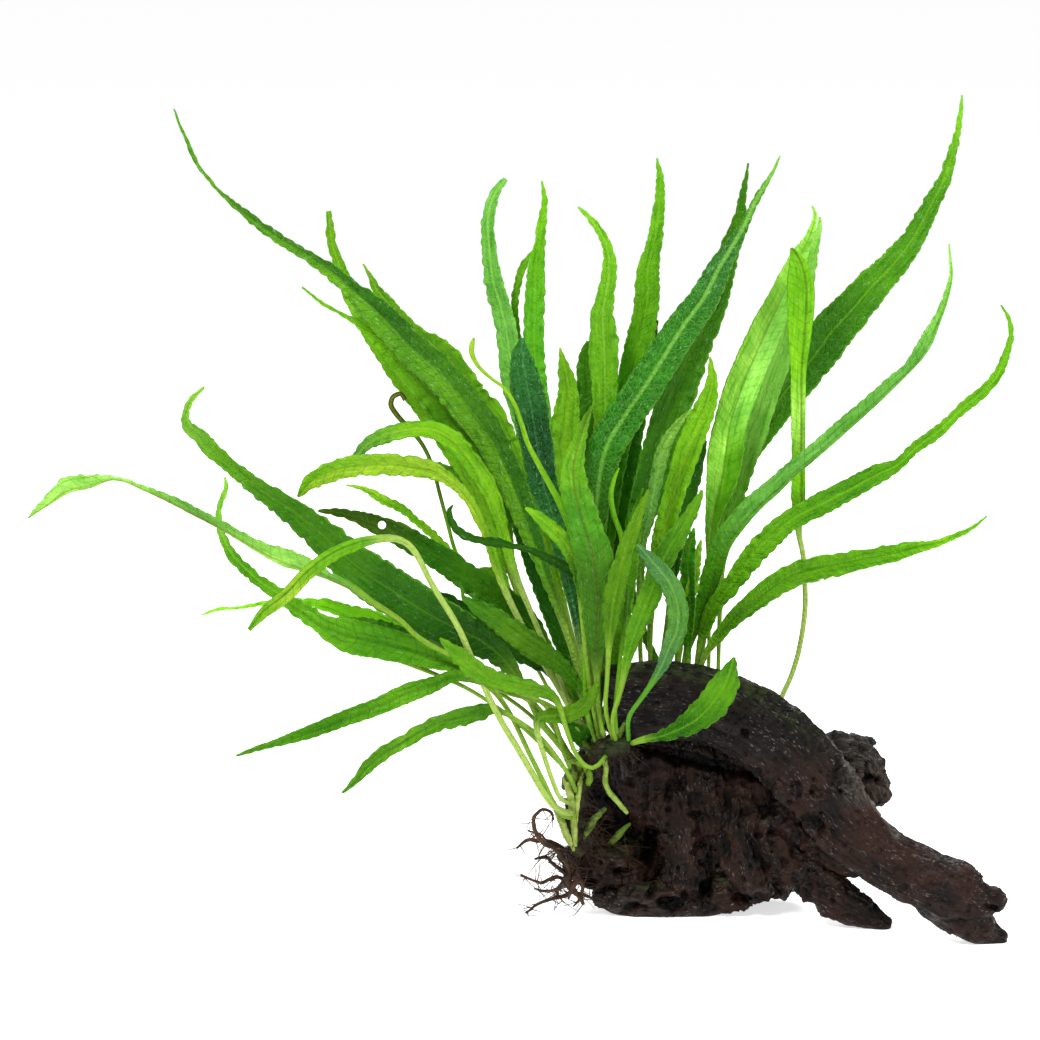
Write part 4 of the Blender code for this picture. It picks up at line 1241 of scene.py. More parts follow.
    def build(self, number: int, core: Core) -> Piece:
        """Models the frond.

        Args:
            number: the frond's place in the list, which seeds its ruffles.
            core: the rhizomes.

        Returns:
            The finished mesh object.
        """
        noise = Noise(101 + number)
        spine = self.spine(core, noise)
        place, round_rise, top = self.section(spine)
        aside, rise = self.surface(spine, place, number, noise)
        leafy, half = spine.leafy[:, None], spine.half[:, None]
        rise = rise + self.skin(spine, place, top) * leafy
        rise = rise + half * round_rise * 0.92 * (1 - leafy)
        rings = spine.centres[:, None] + spine.over[:, None] * aside[..., None]
        rings = rings + spine.out[:, None] * rise[..., None]
        size = np.stack(np.broadcast_arrays(seamed(aside), spine.lengths[:, None]), -1) / MM
        share = np.stack(np.broadcast_arrays(seamed(place), spine.share[:, None]), -1)
        under = np.broadcast_to(np.where(top, 0.0, 1.0), place.shape)
        offset = np.broadcast_to(self.look.rib_at * half / MM, place.shape)
        leaf = Bench.sleeve(
            f"{self.name}_leaf" if self.solid else self.name, rings,
            {"size": size, "share": share}, {"under": under, "rib_offset": offset})
        if self.hole:
            self.pierce(leaf, spine.centres)
        return leaf

    def pierce(self, leaf: Piece, centres: Array) -> None:
        """Cuts the bitten hole through the blade.

        Args:
            leaf: the frond.
            centres: its middle line, which gives the hole's depth.
        """
        across, down, radius = self.hole
        seen_across, seen_down = VIEW.picture(centres)
        nearest = int(np.argmin(np.hypot(seen_across - across, seen_down - down)))
        Bench.clear()
        bpy.ops.mesh.primitive_cylinder_add(
            vertices=20, radius=radius * VIEW.pixel, depth=self.cutter_length,
            location=VIEW.seen_at(across, down, centres[nearest, 1] / MM),
            rotation=Vector(VIEW.forward).to_track_quat("Z", "X").to_euler())
        cutter = bpy.context.object
        Bench.modify(leaf, "BOOLEAN", operation="DIFFERENCE", solver="EXACT", object=cutter)
        bpy.data.objects.remove(cutter, do_unlink=True)

    def dress(self, obj: Piece) -> None:
        material = LeafFinish(self.look).material(f"{self.name}_skin")
        Bench.hand_over(obj, Slot.LEAF, material, [self.name] if self.solid else [])


@dataclass(frozen=True)
class Hollow:
    """A pit or a hollow in the wood's seen side: its place in the picture, radii there and depth. It is
    pushed in and painted dark as painted shade.
    """

    across: float
    down: float
    wide: float
    high: float
    depth: float
    turn: float = 0.0

    def reach(self, across: Array, down: Array) -> Array:
        """How far places of the picture are from the middle, where 1 is the hollow's edge."""
        turn = math.radians(self.turn)
        over, under = across - self.across, down - self.down
        ahead = (over * math.cos(turn) + under * math.sin(turn)) / self.wide
        aside = (under * math.cos(turn) - over * math.sin(turn)) / self.high
        return np.hypot(ahead, aside)


@dataclass(frozen=True)
class Bark:
    """The wood's skin: its points, the ways they face, and where they are seen in the picture."""

    points: Array
    normals: Array
    across: Array
    down: Array


@dataclass
class Driftwood:
    """The dark piece of wood that the fern holds on to. Depths and gaps are in metres."""

    name: str
    round_strands: tuple[Strand, ...]
    flat_strands: tuple[Strand, ...]
    hollows: tuple[Hollow, ...]
    nodes: tuple[str, ...]
    crest: tuple[Span, ...]
    voxel: float = 0.66 * MM
    quick_voxel: float = 1.0 * MM
    sides: int = 24
    steps: int = 8
    slim: float = 0.97
    grain_steps: int = 6
    grain_depth: float = 0.75 * MM
    grain_waves: Row = (1.5 * MM, 17.0 * MM, 1.5 * MM)
    fold_depth: float = 1.5 * MM
    fold_waves: Row = (6.0 * MM, 46.0 * MM, 6.0 * MM)
    crag_gap: float = 6.5 * MM
    pit_gap: float = 2.6 * MM
    dent_gap: float = 4.4 * MM
    dent_depth: float = 1.5 * MM
    swell_gap: float = 9 * MM
    swell_depth: float = 0.8 * MM
    wobble: float = 0.55
    wobble_gap: float = 3.2 * MM
    front: float = 14 * MM
    most_triangles: int = 190_000
    block: int = 20_000

    def form(self) -> Piece:
        """The joined strands as one closed skin."""
        tubes = []
        for strand in (*self.flat_strands, *self.round_strands):
            centres, radii = strand.sampled(self.steps)
            radii = radii * self.slim
            tubes.append(Bench.sleeve("strand", Tube(centres, radii, self.sides).rings()))
            for end in (-1,) if strand in self.flat_strands else (0, -1):
                Bench.clear()
                bpy.ops.mesh.primitive_ico_sphere_add(
                    subdivisions=3, radius=radii[end], location=centres[end])
                tubes.append(bpy.context.object)
        wood = Bench.join(self.name, tubes)
        Bench.place(wood)
        Bench.modify(wood, "REMESH", mode="VOXEL",
                     voxel_size=self.voxel)
        Bench.modify(wood, "SMOOTH", factor=0.5, iterations=6)
        return wood

    def carve(self, wood: Piece) -> None:
        """Gives the skin its folds, grain, pits and hollows, and keeps what the finish needs, among it where
        shade is painted in hollows and pits.
        """
        mesh = wood.data
        points, normals = np.empty((2, len(mesh.vertices) * 3))
        mesh.vertices.foreach_get("co", points)
        mesh.vertices.foreach_get("normal", normals)
        points, normals = points.reshape(-1, 3), normals.reshape(-1, 3)
        bark = Bark(points, normals, *VIEW.picture(points))
        move, grain = self.grain(points)
        rise, pitted = self.weather(bark)
        inward, deep = self.hollowed(bark)
        low = smooth_step(0, 3 * MM, points[:, 2])
        points = points + normals * ((move + rise) * (0.25 + 0.75 * low))[:, None]
        points = points + VIEW.forward * inward[:, None] * np.array([1, 1, 0])
        mesh.vertices.foreach_set("co", points.reshape(-1))
        mesh.update()
        top = smooth_step(0.45, 0.9, normals[:, 2]) * (1 - smooth_step(760, 860, bark.across))
        # deep sets the painted shade in hollows and pits; crest sets the grey of the slab's crest, which is
        # partly painted light.
        marks = {"deep": np.maximum(deep, 0.7 * pitted), "crest": self.pale(bark),
                 "red": smooth_step(735, 800, bark.down) * 0.9, "moss": top * 0.45}
        for key, values in marks.items():
            Bench.keep(mesh, key, np.clip(values, 0, 1))
        Bench.keep(mesh, "grain", grain, "FLOAT_VECTOR")

    def weather(self, bark: Bark) -> tuple[Array, Array]:
        """Crags, pits, dents and swells, which are rough on the trunk and the back knob.

        Args:
            bark: the plain skin.

        Returns:
            How far each point is lifted, and how much it is in a pit or a dent.
        """
        points, across, down = bark.points, bark.across, bark.down
        trunk = smooth_step(745, 790, down) * (1 - smooth_step(800, 860, across))
        knob = smooth_step(818, 838, across) * (1 - smooth_step(800, 815, down))
        rugged = np.maximum(trunk, knob)
        craggy = 1 - 2.2 * np.abs(Noise(11).layered(points / self.crag_gap, 3))
        move = (craggy - 0.35) * (0.25 + 1.25 * rugged) * MM
        pits = smooth_step(0.26, 0.58, Noise(7).layered(points / self.pit_gap, 2))
        dents = smooth_step(0.22, 0.5, Noise(12).layered(points / self.dent_gap, 2)) * rugged
        move -= pits * (0.6 + 0.7 * rugged) * MM + dents * self.dent_depth
        move += Noise(8).layered(points / self.swell_gap, 2) * self.swell_depth
        return move, np.maximum(pits, dents)

    def hollowed(self, bark: Bark) -> tuple[Array, Array]:
        """The hollows in the side that is seen.

        Args:
            bark: the plain skin.

        Returns:
            How far each point goes in, and how deep in a hollow it is, from 0 to 1, which sets how much
            shade is painted there.
        """
        facing = np.clip(-(bark.normals @ VIEW.forward) * 1.6 + 0.15, 0, 1)
        facing = facing * (bark.points[:, 1] < self.front)
        wobble = 1 + self.wobble * Noise(9).layered(bark.points / self.wobble_gap, 2)
        inward, deep = np.zeros((2, len(bark.points)))
        for hollow in self.hollows:
            reach = hollow.reach(bark.across, bark.down) * wobble
            inward = np.maximum(inward, (1 - smooth_step(0.35, 1.15, reach)) * hollow.depth * MM)
            deep = np.maximum(deep, 1 - smooth_step(0.25, 1.0, reach))
        return inward * facing, deep * facing

    def pale(self, bark: Bark) -> Array:
        """Where the wood is worn grey: the left foot and the back knob, and the slab's crest, whose grey is
        partly painted light on its upward-facing edge.

        Args:
            bark: the plain skin.

        Returns:
            Shares from 0 to 1.
        """
        across, down = bark.across, bark.down
        over_ridge = down - np.interp(across, *zip(*self.crest))
        crest = smooth_step(-7, -3, over_ridge) * (1 - smooth_step(1, 4, over_ridge))
        # The crest's grey goes only on faces that look up: partly painted light.
        crest = crest * smooth_step(0.15, 0.5, bark.normals[:, 2]) * smooth_step(725, 770, across)
        crest = crest * (1 - smooth_step(885, 910, across))
        foot = (1 - smooth_step(652, 672, across)) * smooth_step(884, 900, down)
        knob = smooth_step(836, 848, across) * (1 - smooth_step(800, 815, down))
        return np.maximum(crest, np.maximum(foot * 0.12, knob * 0.30))

    def nearest(self, points: Array, centres: Array) -> Array:
        """Which centre each point is nearest to. Points are taken in blocks to spare memory."""
        blocks = np.split(points, range(self.block, len(points), self.block))
        gaps = (np.linalg.norm(block[:, None] - centres[None], axis=2) for block in blocks)
        return np.concatenate([np.argmin(gap, axis=1) for gap in gaps])

    def grain(self, points: Array) -> tuple[Array, Array]:
        """The grain that runs along each strand.

        Args:
            points: the skin's points.

        Returns:
            How far the grain lifts each point, and the point's place round and along its strand.
        """
        weights, moves, ways = [], [], []
        for number, strand in enumerate((*self.flat_strands, *self.round_strands)):
            centres, radii = strand.sampled(self.grain_steps)
            along, over, out = path_frames(centres)
            nearest = self.nearest(points, centres)
            offset = points - centres[nearest]
            along_by, over_by, out_by = (
                np.sum(offset * way[nearest], axis=1) for way in (along, over, out))
            turn = np.arctan2(out_by, over_by)
            radius = radii[nearest]
            length = arc_lengths(centres)[nearest] + along_by
            way = np.stack([np.cos(turn) * radius, length, np.sin(turn) * radius], 1)
            fold = Noise(20 + number).layered(way / np.array(self.fold_waves), 2)
            fine = Noise(50 + number).layered(way / np.array(self.grain_waves), 2)
            ridge = 1 - np.abs(fine) * 2.2
            moves.append(fold * self.fold_depth + (ridge - 0.5) * self.grain_depth)
            away = np.linalg.norm(offset, axis=1) / radius
            weights.append(np.exp(-6 * np.clip(away - 0.85, 0, None)))
            ways.append(way + number * 0.37)
        weights, moves, ways = np.array(weights), np.array(moves), np.array(ways)
        strongest = np.argmax(weights, axis=0)
        lift = np.sum(weights**3 * moves, axis=0) / np.maximum(np.sum(weights**3, axis=0), TINY)
        return lift, ways[strongest, np.arange(len(points))]

    def build(self) -> Piece:
        """Models the wood, cut level where it rests.

        Returns:
            The finished mesh object.
        """
        wood = self.form()
        self.carve(wood)
        Bench.edit(
            wood,
            lambda: bpy.ops.mesh.bisect(
                plane_co=(0, 0, 0), plane_no=(0, 0, -1), use_fill=True, clear_outer=True),
            lambda: bpy.ops.mesh.select_all(action="SELECT"),
            lambda: bpy.ops.mesh.quads_convert_to_tris())
        share = self.most_triangles / len(wood.data.polygons)
        if share < 1:
            Bench.modify(wood, "DECIMATE", ratio=share)
        bpy.ops.object.shade_smooth()
        return wood

    def dress(self, wood: Piece) -> None:
        Bench.hand_over(wood, Slot.WOOD, WoodFinish().material("wet_wood"), self.nodes)


@dataclass
class Rhizome:
    """A creeping stem with swollen joints and short scales."""

    name: str
    strand: Strand
    around: int = 20
    steps: int = 22
    least_radius: float = 0.3 * MM
    slim: float = 0.96
    knot_gap: float = 6.5 * MM
    knot_depth: float = 0.16
    lump_gap: float = 1.8 * MM
    lump_depth: float = 0.416
    scales: int = 170
    scale_length: float = 2.8 * MM
    scale_width: float = 0.22 * MM

    def build(self, seed: int) -> Piece:
        """Models the stem with its scales.

        Args:
            seed: what its lumps and scales are drawn from.

        Returns:
            The finished mesh object.
        """
        centres, radii = self.strand.sampled(self.steps)
        radii = np.maximum(radii, self.least_radius)
        knots = 1 + self.knot_depth * np.cos(2 * math.pi * arc_lengths(centres) / self.knot_gap)
        tube = Tube(centres, radii * knots * self.slim, self.around)
        lumps = Noise(seed).layered(tube.rings() / self.lump_gap, 3) * self.lump_depth
        rings = tube.rough_rings(lumps * radii[:, None])
        stem = Bench.sleeve(self.name, rings)
        return Bench.join(f"{self.name}_stem", [stem, *self.scale_pieces(rings, centres, seed)])

    def scale_pieces(self, rings: Array, centres: Array, seed: int) -> list[Piece]:
        """Short pointed scales that stand off the stem, copied from one.

        Args:
            rings: the stem's skin.
            centres: its middle line.
            seed: what the scales' places are drawn from.

        Returns:
            The scales.
        """
        random = np.random.default_rng(seed)
        Bench.clear()
        bpy.ops.mesh.primitive_cone_add(
            vertices=5, radius1=self.scale_width, radius2=0.05 * MM, depth=self.scale_length)
        first = bpy.context.object
        along = unit(np.gradient(centres, axis=0))
        made = []
        for _ in range(self.scales):
            i, j = random.integers(1, len(rings) - 1), random.integers(rings.shape[1])
            away = Vector(rings[i, j] - centres[i]).normalized()
            lean = away * random.uniform(0.25, 0.9) + Vector(along[i]) * random.uniform(-1, 1)
            copy = first.copy()
            copy.data = first.data.copy()
            bpy.context.collection.objects.link(copy)
            copy.rotation_mode = "QUATERNION"
            copy.rotation_quaternion = lean.to_track_quat("Z", "X")
            copy.location = rings[i, j] + np.array(lean.normalized()) * self.scale_length * 0.3
            copy.scale = (1, 0.5, random.uniform(0.5, 1.3))
            made.append(copy)
        bpy.data.objects.remove(first, do_unlink=True)
        Bench.place(*made)
        return made

    def dress(self, obj: Piece) -> None:
        Bench.hand_over(obj, Slot.RHIZOME, FibreFinish().material(f"{self.name}_skin"), [self.name])


@dataclass
class Tendrils:
    """A bundle of thin wandering tubes: roots, root hairs, young shoots or petiole bases.

    A branch's reach is in mm, and the other sizes are in metres.
    """

    name: str
    slot: Slot
    strands: tuple[Strand, ...]
    finish: FibreFinish
    nodes: tuple[str, ...] = ()
    around: int = 8
    steps: int = 8
    least_radius: float = 0.08 * MM
    wander: float = 0.35 * MM
    wander_gap: float = 5 * MM
    lump_gap: float = 1.1 * MM
    lump_depth: float = 0.16
    branches: int = 0
    branch_reach: Span = (4.0, 13.0)
    branch_radius: float = 0.17 * MM
    branch_sides: int = 5
    branch_rings: int = 9
    droop: float = 0.0

    def tube(self, number: int, strand: Strand, seed: int) -> tuple[Piece, Array]:
        """Models one strand.

        Args:
            number: its place in the bundle.
            strand: the strand.
            seed: what its wandering is drawn from.

        Returns:
            The object and its middle line.
        """
        centres, radii = strand.sampled(self.steps)
        lengths = arc_lengths(centres)
        sway = [Noise(seed + k).along(lengths, self.wander_gap, number) for k in range(3)]
        fade = smooth_step(0, 4 * MM, lengths)
        centres = centres + np.stack(sway, 1) * (self.wander * fade)[:, None]
        tube = Tube(centres, np.maximum(radii, self.least_radius), self.around)
        lumps = Noise(seed + 5).at(tube.rings() / self.lump_gap) * self.lump_depth
        return Bench.sleeve(self.name, tube.rough_rings(lumps * radii[:, None])), centres

    def branch(self, lines: Sequence[Array], random: np.random.Generator) -> Piece:
        """Models one hair that leaves a strand and bends, above the floor.

        Args:
            lines: the strands' middle lines.
            random: what its place and way are drawn from.

        Returns:
            The object.
        """
        line = lines[random.integers(len(lines))]
        start = line[random.integers(len(line))]
        way = unit(random.normal(size=3) * np.array([1.0, 0.8, 0.8]) - np.array([0, 0, self.droop]))
        reach = random.uniform(*self.branch_reach) * MM
        bend = unit(random.normal(size=3)) * reach * 0.35
        share = np.linspace(0, 1, self.branch_rings)[:, None]
        centres = start + way * reach * share + bend * share**2
        centres[:, 2] = np.maximum(centres[:, 2], 0.4 * MM)
        radii = self.branch_radius * (1.1 - 0.8 * share[:, 0])
        return Bench.sleeve(self.name, Tube(centres, radii, self.branch_sides).rings())

    def build(self, seed: int) -> Piece:
        """Models the bundle.

        Args:
            seed: what its wandering and its branches are drawn from.

        Returns:
            The finished mesh object.
        """
        random = np.random.default_rng(seed)
        tubes = [self.tube(number, strand, seed) for number, strand in enumerate(self.strands)]
        lines = [line for _, line in tubes]
        hairs = [self.branch(lines, random) for _ in range(self.branches)]
        return Bench.join(f"{self.name}_strands", [*(piece for piece, _ in tubes), *hairs])

    def dress(self, obj: Piece) -> None:
        Bench.hand_over(obj, self.slot, self.finish.material(f"{self.name}_skin"), self.nodes)


@dataclass(frozen=True)
class Lamp:
    """A round soft light: its place, its width in metres and its power in watts."""

    place: tuple[float, float, float]
    size: float
    power: float


@dataclass(frozen=True)
class Studio:
    """A white floor, soft lights and the camera."""

    floor_size: float = 60.0
    white: Rgb = (0.80, 0.80, 0.80)
    glow: float = 0.66
    sky: float = 0.40
    aim: tuple[float, float, float] = (-0.05, 0.0, 0.12)
    lamps: tuple[Lamp, ...] = (
        Lamp((-0.50, -0.80, 1.10), 0.36, 17.0), Lamp((0.80, -0.60, 0.70), 0.40, 7.0),
        Lamp((0.1, 0.85, 0.95), 0.6, 12.0))

    def floor(self) -> None:
        """Lays the floor."""
        Bench.clear()
        bpy.ops.mesh.primitive_plane_add(size=self.floor_size, location=(0, 0, 0))
        sheet = bpy.context.object
        sheet.name = "studio_floor"
        sheet.data.materials.append(Graph("studio_white").finish(
            self.white, 0.9, Specular_IOR_Level=0.1, Emission_Color=(1.0, 1.0, 1.0, 1.0),
            Emission_Strength=self.glow))

    def lights(self) -> None:
        """Hangs the lights and sets the sky."""
        world = bpy.data.worlds.new("studio_sky")
        bpy.context.scene.world = world
        world.use_nodes = True
        sky = world.node_tree.nodes["Background"]
        sky.inputs["Color"].default_value = (1.0, 1.0, 1.0, 1.0)
        sky.inputs["Strength"].default_value = self.sky
        for lamp in self.lamps:
            bpy.ops.object.light_add(type="AREA", location=lamp.place)
            light = bpy.context.object
            light.data.shape = "DISK"
            light.data.size = lamp.size
            light.data.energy = lamp.power
            aim = Vector(self.aim) - Vector(lamp.place)
            light.rotation_euler = aim.to_track_quat("-Z", "Y").to_euler()

    def camera(self) -> None:
        """Sets up the camera."""
        bpy.ops.object.camera_add(location=tuple(VIEW.eye))
        camera = bpy.context.object
        camera.rotation_euler = Vector(VIEW.forward).to_track_quat("-Z", "Y").to_euler()
        camera.data.sensor_width = VIEW.sensor
        camera.data.lens = VIEW.lens
        camera.data.clip_end = 100
        bpy.context.scene.camera = camera
        bpy.context.scene.view_settings.view_transform = "Standard"

    def build(self) -> None:
        """Sets up everything round the object."""
        self.floor()
        self.lights()
        self.camera()


RHIZOME_LOWER = Strand(
    "580 852 -20 2.4, 574 832 -23 3, 575 803 -24 3.2, 580 776 -20 3.3, 588 757 -12, 592 742 -2 3.2, "
    "593 732 8 3.1, 594 726 16 3")
RHIZOME_FRONT = Strand("596 757 -21 3, 604 750 -26 3.4, 616 746 -30 3.3, 630 745 -32 2.6")
RHIZOME_BACK = Strand(
    "599 722 23 3.2, 612 718 29 3.6, 640 716 32 3.8, 680 718 33, 720 724 33 3.6, 760 730 31 3.4, "
    "792 736 28 2.6")
GREEN_SHOOT = Strand(
    "604 758 -30 0.9, 606 770, 605 781 -28 0.95, 609 791 -26, 617 801 -24 0.9, 627 813 -22 0.7")
SLAB_FRONT = Strand(
    "609 700 -17 12.6, 650 699 -17 13, 700 704 -18, 740 719 -20, 785 750 -23, 820 789 -28 12, "
    "848 828 -33 10.8, 882 856 -38 10.2, 925 878 -42 10.4, 957 893 -46 11.4, 980 899 -48 8.4, "
    "992 898 -48 5")
SLAB_BACK = Strand(
    "609 699 7 12.4, 660 697 8 12.8, 710 704 7 12.6, 750 721 5 12.4, 790 750 1, 824 790 -6 12, "
    "852 826 -14 10.5, 886 858 -24 9.4, 926 878 -32 8.6, 952 890 -38 8, 970 897 -42 6")
SLAB_LOWER_TIP = Strand("940 895 -44 9, 966 914 -46 8.2, 986 931 -44 6, 998 937 -44 3.8")
SLAB_WEB = Strand("800 812 -12 12, 828 838 -18 10.5, 853 858 -26 7")
TRUNK_LEFT = Strand("655 747 0 14.5, 656 775, 664 806 4 13, 662 840 14 12")
TRUNK_COLUMN = Strand("672 800 -4 12, 683 840 -6 9.5, 686 870, 684 900 -6 8")
TRUNK_MIDDLE = Strand("700 745 2 16, 706 790 2 17.5, 718 830 4 16.5, 716 870 8 15, 712 902 10 12")
TRUNK_RIGHT = Strand("750 760 0 15, 757 800, 770 840 4 13, 778 872 8 9")
TRUNK_LOBE = Strand("742 812 -10 8, 742 845 -14, 750 872 -14 7.5, 755 888 -12 5.5")
TRUNK_BACK = Strand("690 760 22 14, 745 790, 712 830 26 13, 722 868 38 10, 726 885 45 6.5")
TRUNK_LEFT_BACK = Strand("640 765 12 10, 636 810 16 11, 634 850 14 10, 646 880 14 8")
TRUNK_SHADOW = Strand("626 780 12 8, 608 800 12 9, 603 830 9 8.5, 610 858 4 7.5")
TRUNK_KNOB_ROOT = Strand("775 762 8 12.5, 815 768 10 11, 842 772 12 9.5")
SHORT_LIMB = Strand(
    "765 835 -10 10, 790 861 -15 8.8, 815 881 -20 7.8, 845 902 -25 7.4, 866 914 -26 5.4, 883 923 -27 3.2")
TRUNK_SHOULDER = Strand("600 772 8 5.5, 612 760 6 8, 630 752 5 9.5, 650 750 3 10")
LEFT_BLOCK = Strand("574 862 -6 5, 590 866 -6 7.4, 612 868 -4 8.6, 640 862 4 9")
LEFT_FOOT = Strand("602 898 -6 4, 618 900 -8 5.8, 640 900 -9 6.6, 665 899, 700 898 -8 7, 735 892")
BACK_KNOB = Strand("833 754 12 8.5, 852 757 15 7.5, 866 774, 874 793 12 5.6")
BACK_KNOB_HORN = Strand("838 748 13 6.5, 856 745 16 4.5, 867 743 18 2.2")
ROOTS = strands(
    "573 870 -18 1, 566 852 -21 0.9, 548 841 -24 0.8, 532 840 -26 0.7, 517 848 -28 0.4",
    "571 872 -19 0.8, 556 850 -28, 540 838 -32, 534 828 -33 0.75, 534 817 -34 0.7, 541 809 -34 0.6, "
    "550 812 -34 0.5, 552 820 -33 0.4",
    "571 878 -18 0.9, 556 866 -20 0.7, 545 858 -23 0.6, 535 860 -26 0.4",
    "570 882 -17 0.9, 556 877 -15 0.7, 541 883 -12 0.6, 529 880 -9 0.5, 521 876 -6 0.4",
    "574 890 -15 0.9, 562 896 -12 0.8, 541 904 -11 0.6, 524 914 -14 0.4",
    "573 884 -16 0.8, 560 888 -4 0.7, 548 892 6 0.6, 534 888 14 0.4")

WOOD = Driftwood(
    "driftwood",
    (
        SLAB_LOWER_TIP, SLAB_WEB, TRUNK_LEFT, TRUNK_COLUMN, TRUNK_MIDDLE, TRUNK_RIGHT, TRUNK_LOBE,
        TRUNK_BACK, TRUNK_LEFT_BACK, TRUNK_SHADOW, TRUNK_KNOB_ROOT, SHORT_LIMB, TRUNK_SHOULDER, LEFT_BLOCK,
        LEFT_FOOT, BACK_KNOB, BACK_KNOB_HORN),
    (SLAB_FRONT, SLAB_BACK),
    tuple(Hollow(*row) for row in (
        (650, 846, 9, 24, 7), (705, 891, 8, 11, 5), (672, 904, 19, 7, 5), (748, 898, 21, 6, 4),
        (696, 816, 5, 4, 2), (770, 834, 5, 4, 2), (812, 793, 5, 4, 2), (843, 791, 5, 4, 2),
        (745, 733, 4, 4, 2), (757, 854, 26, 4, 2, 63), (573, 853, 6, 5, 3), (869, 779, 6, 5, 3),
        (700, 762, 84, 8, 4, 14), (992, 908, 7, 4, 3), (727, 800, 4, 12, 2), (668, 790, 4, 16, 2, 10),
        (815, 825, 16, 14, 4, 30), (612, 890, 14, 4, 3, 20), (630, 908, 12, 5, 3, -15),
        (652, 890, 5, 14, 4, 20), (684, 898, 5, 12, 4), (602, 800, 18, 26, 2.5), (588, 880, 10, 4, 3, 15),
        (625, 872, 12, 4, 3, -10), (725, 850, 4, 20, 3, -8))),
    ("driftwood_trunk", "driftwood_long_limb", "driftwood_short_limb", "driftwood_back_knob",
     "driftwood_left_foot"),
    ((735, 677), (775, 693), (800, 712), (825, 735), (845, 768), (870, 806), (900, 838)))

RHIZOMES = (
    Rhizome("rhizome_lower", RHIZOME_LOWER), Rhizome("rhizome_front", RHIZOME_FRONT),
    Rhizome("rhizome_back", RHIZOME_BACK))

BUNDLES = (
    Tendrils("green_shoot", Slot.RHIZOME, (GREEN_SHOOT,),
        FibreFinish((0.24, 0.36, 0.05), (0.09, 0.18, 0.015), (0.34, 0.42, 0.10)), ("green_shoot",),
        around=14, wander=0.2 * MM),
    Tendrils("petiole_bases", Slot.LEAF, strands(
        "555 806 -31 1.05, 561 820 -28 1.25, 567 836 -26.6 1.2, 574 850 -23 0.7",
        "565 776 -25 1.05, 571 798 -27.4 1.3, 574 822 -27.2, 575 846 -24.4 0.8",
        "583 766 -19 0.8, 580 784 -25 0.9, 577 806 -28.0, 575 832 -27.6 0.8"),
        FibreFinish((0.27, 0.36, 0.06), (0.12, 0.19, 0.02), (0.36, 0.42, 0.12)), around=14, steps=10,
        wander=0.15 * MM),
    Tendrils("young_shoots", Slot.RHIZOME, strands(
        "582 838 -22 0.9, 588 828 -22.0 1.5, 596 818 -21.5 1.3, 606 808 -20 0.6",
        "606 847 -4 0.7, 614 840 -7 1.2, 622 832 -8 1.1, 630 823 -6.5 0.5",
        "564 788 -23 1.2, 570 779 -24.5 2.5, 577 771 -22 2.0, 584 765 -19 0.8",
        "612 744 -31 1.2, 617 736 -31 1.5, 622 729 -30 1.0, 625 722 -29 0.4",
        "592 756 -22 1.2, 587 748 -22 1.4, 583 741 -21 0.6"),
        FibreFinish((0.11, 0.16, 0.02), (0.020, 0.028, 0.006), (0.09, 0.18, 0.015), 0.6), around=18,
        steps=12, wander=0.3 * MM),
    Tendrils("root_mat", Slot.ROOT, strands(
        "579 846 -20 0.5, 575 820 -23, 578 785 -22, 590 755 -12",
        "579 810 -21 0.5, 590 830 -14, 606 846 -6, 630 855 -7.5",
        "596 752 -22 0.4, 612 745 -28, 630 744 -30"),
        FibreFinish((0.040, 0.020, 0.010), (0.009, 0.005, 0.003), (0.07, 0.042, 0.016), 0.4), branches=420,
        droop=0.5),
    Tendrils("root_tuft", Slot.ROOT, ROOTS + strands(
        "572 868 -19 1.2, 568 878 -18 1.3, 575 890 -15 1.1, 583 903 -12 0.6",
        "574 868 -17 1.0, 578 878 -19 1.1, 571 888 -17 0.9, 569 898 -13 0.4",
        "576 872 -15 0.9, 566 882 -14, 578 894 -12 0.8, 590 899 -11 0.4",
        "573 876 -20 0.7, 582 884 -18 0.8, 580 896 -14 0.6, 573 906 -12 0.3",
        "570 874 -18 0.6, 560 884 -16, 557 892 -13 0.5, 563 901 -12 0.3",
        "566 852 -21 0.6, 553 848 -24 0.5, 543 836 -26 0.4, 527 832 -27 0.3"),
        FibreFinish((0.040, 0.018, 0.009), (0.009, 0.005, 0.003), (0.12, 0.055, 0.022), 0.3), ("root_tuft",),
        around=10, steps=12, wander=0.7 * MM, branches=170, branch_reach=(3.0, 11.0),
        branch_radius=0.20 * MM, droop=0.15),
)

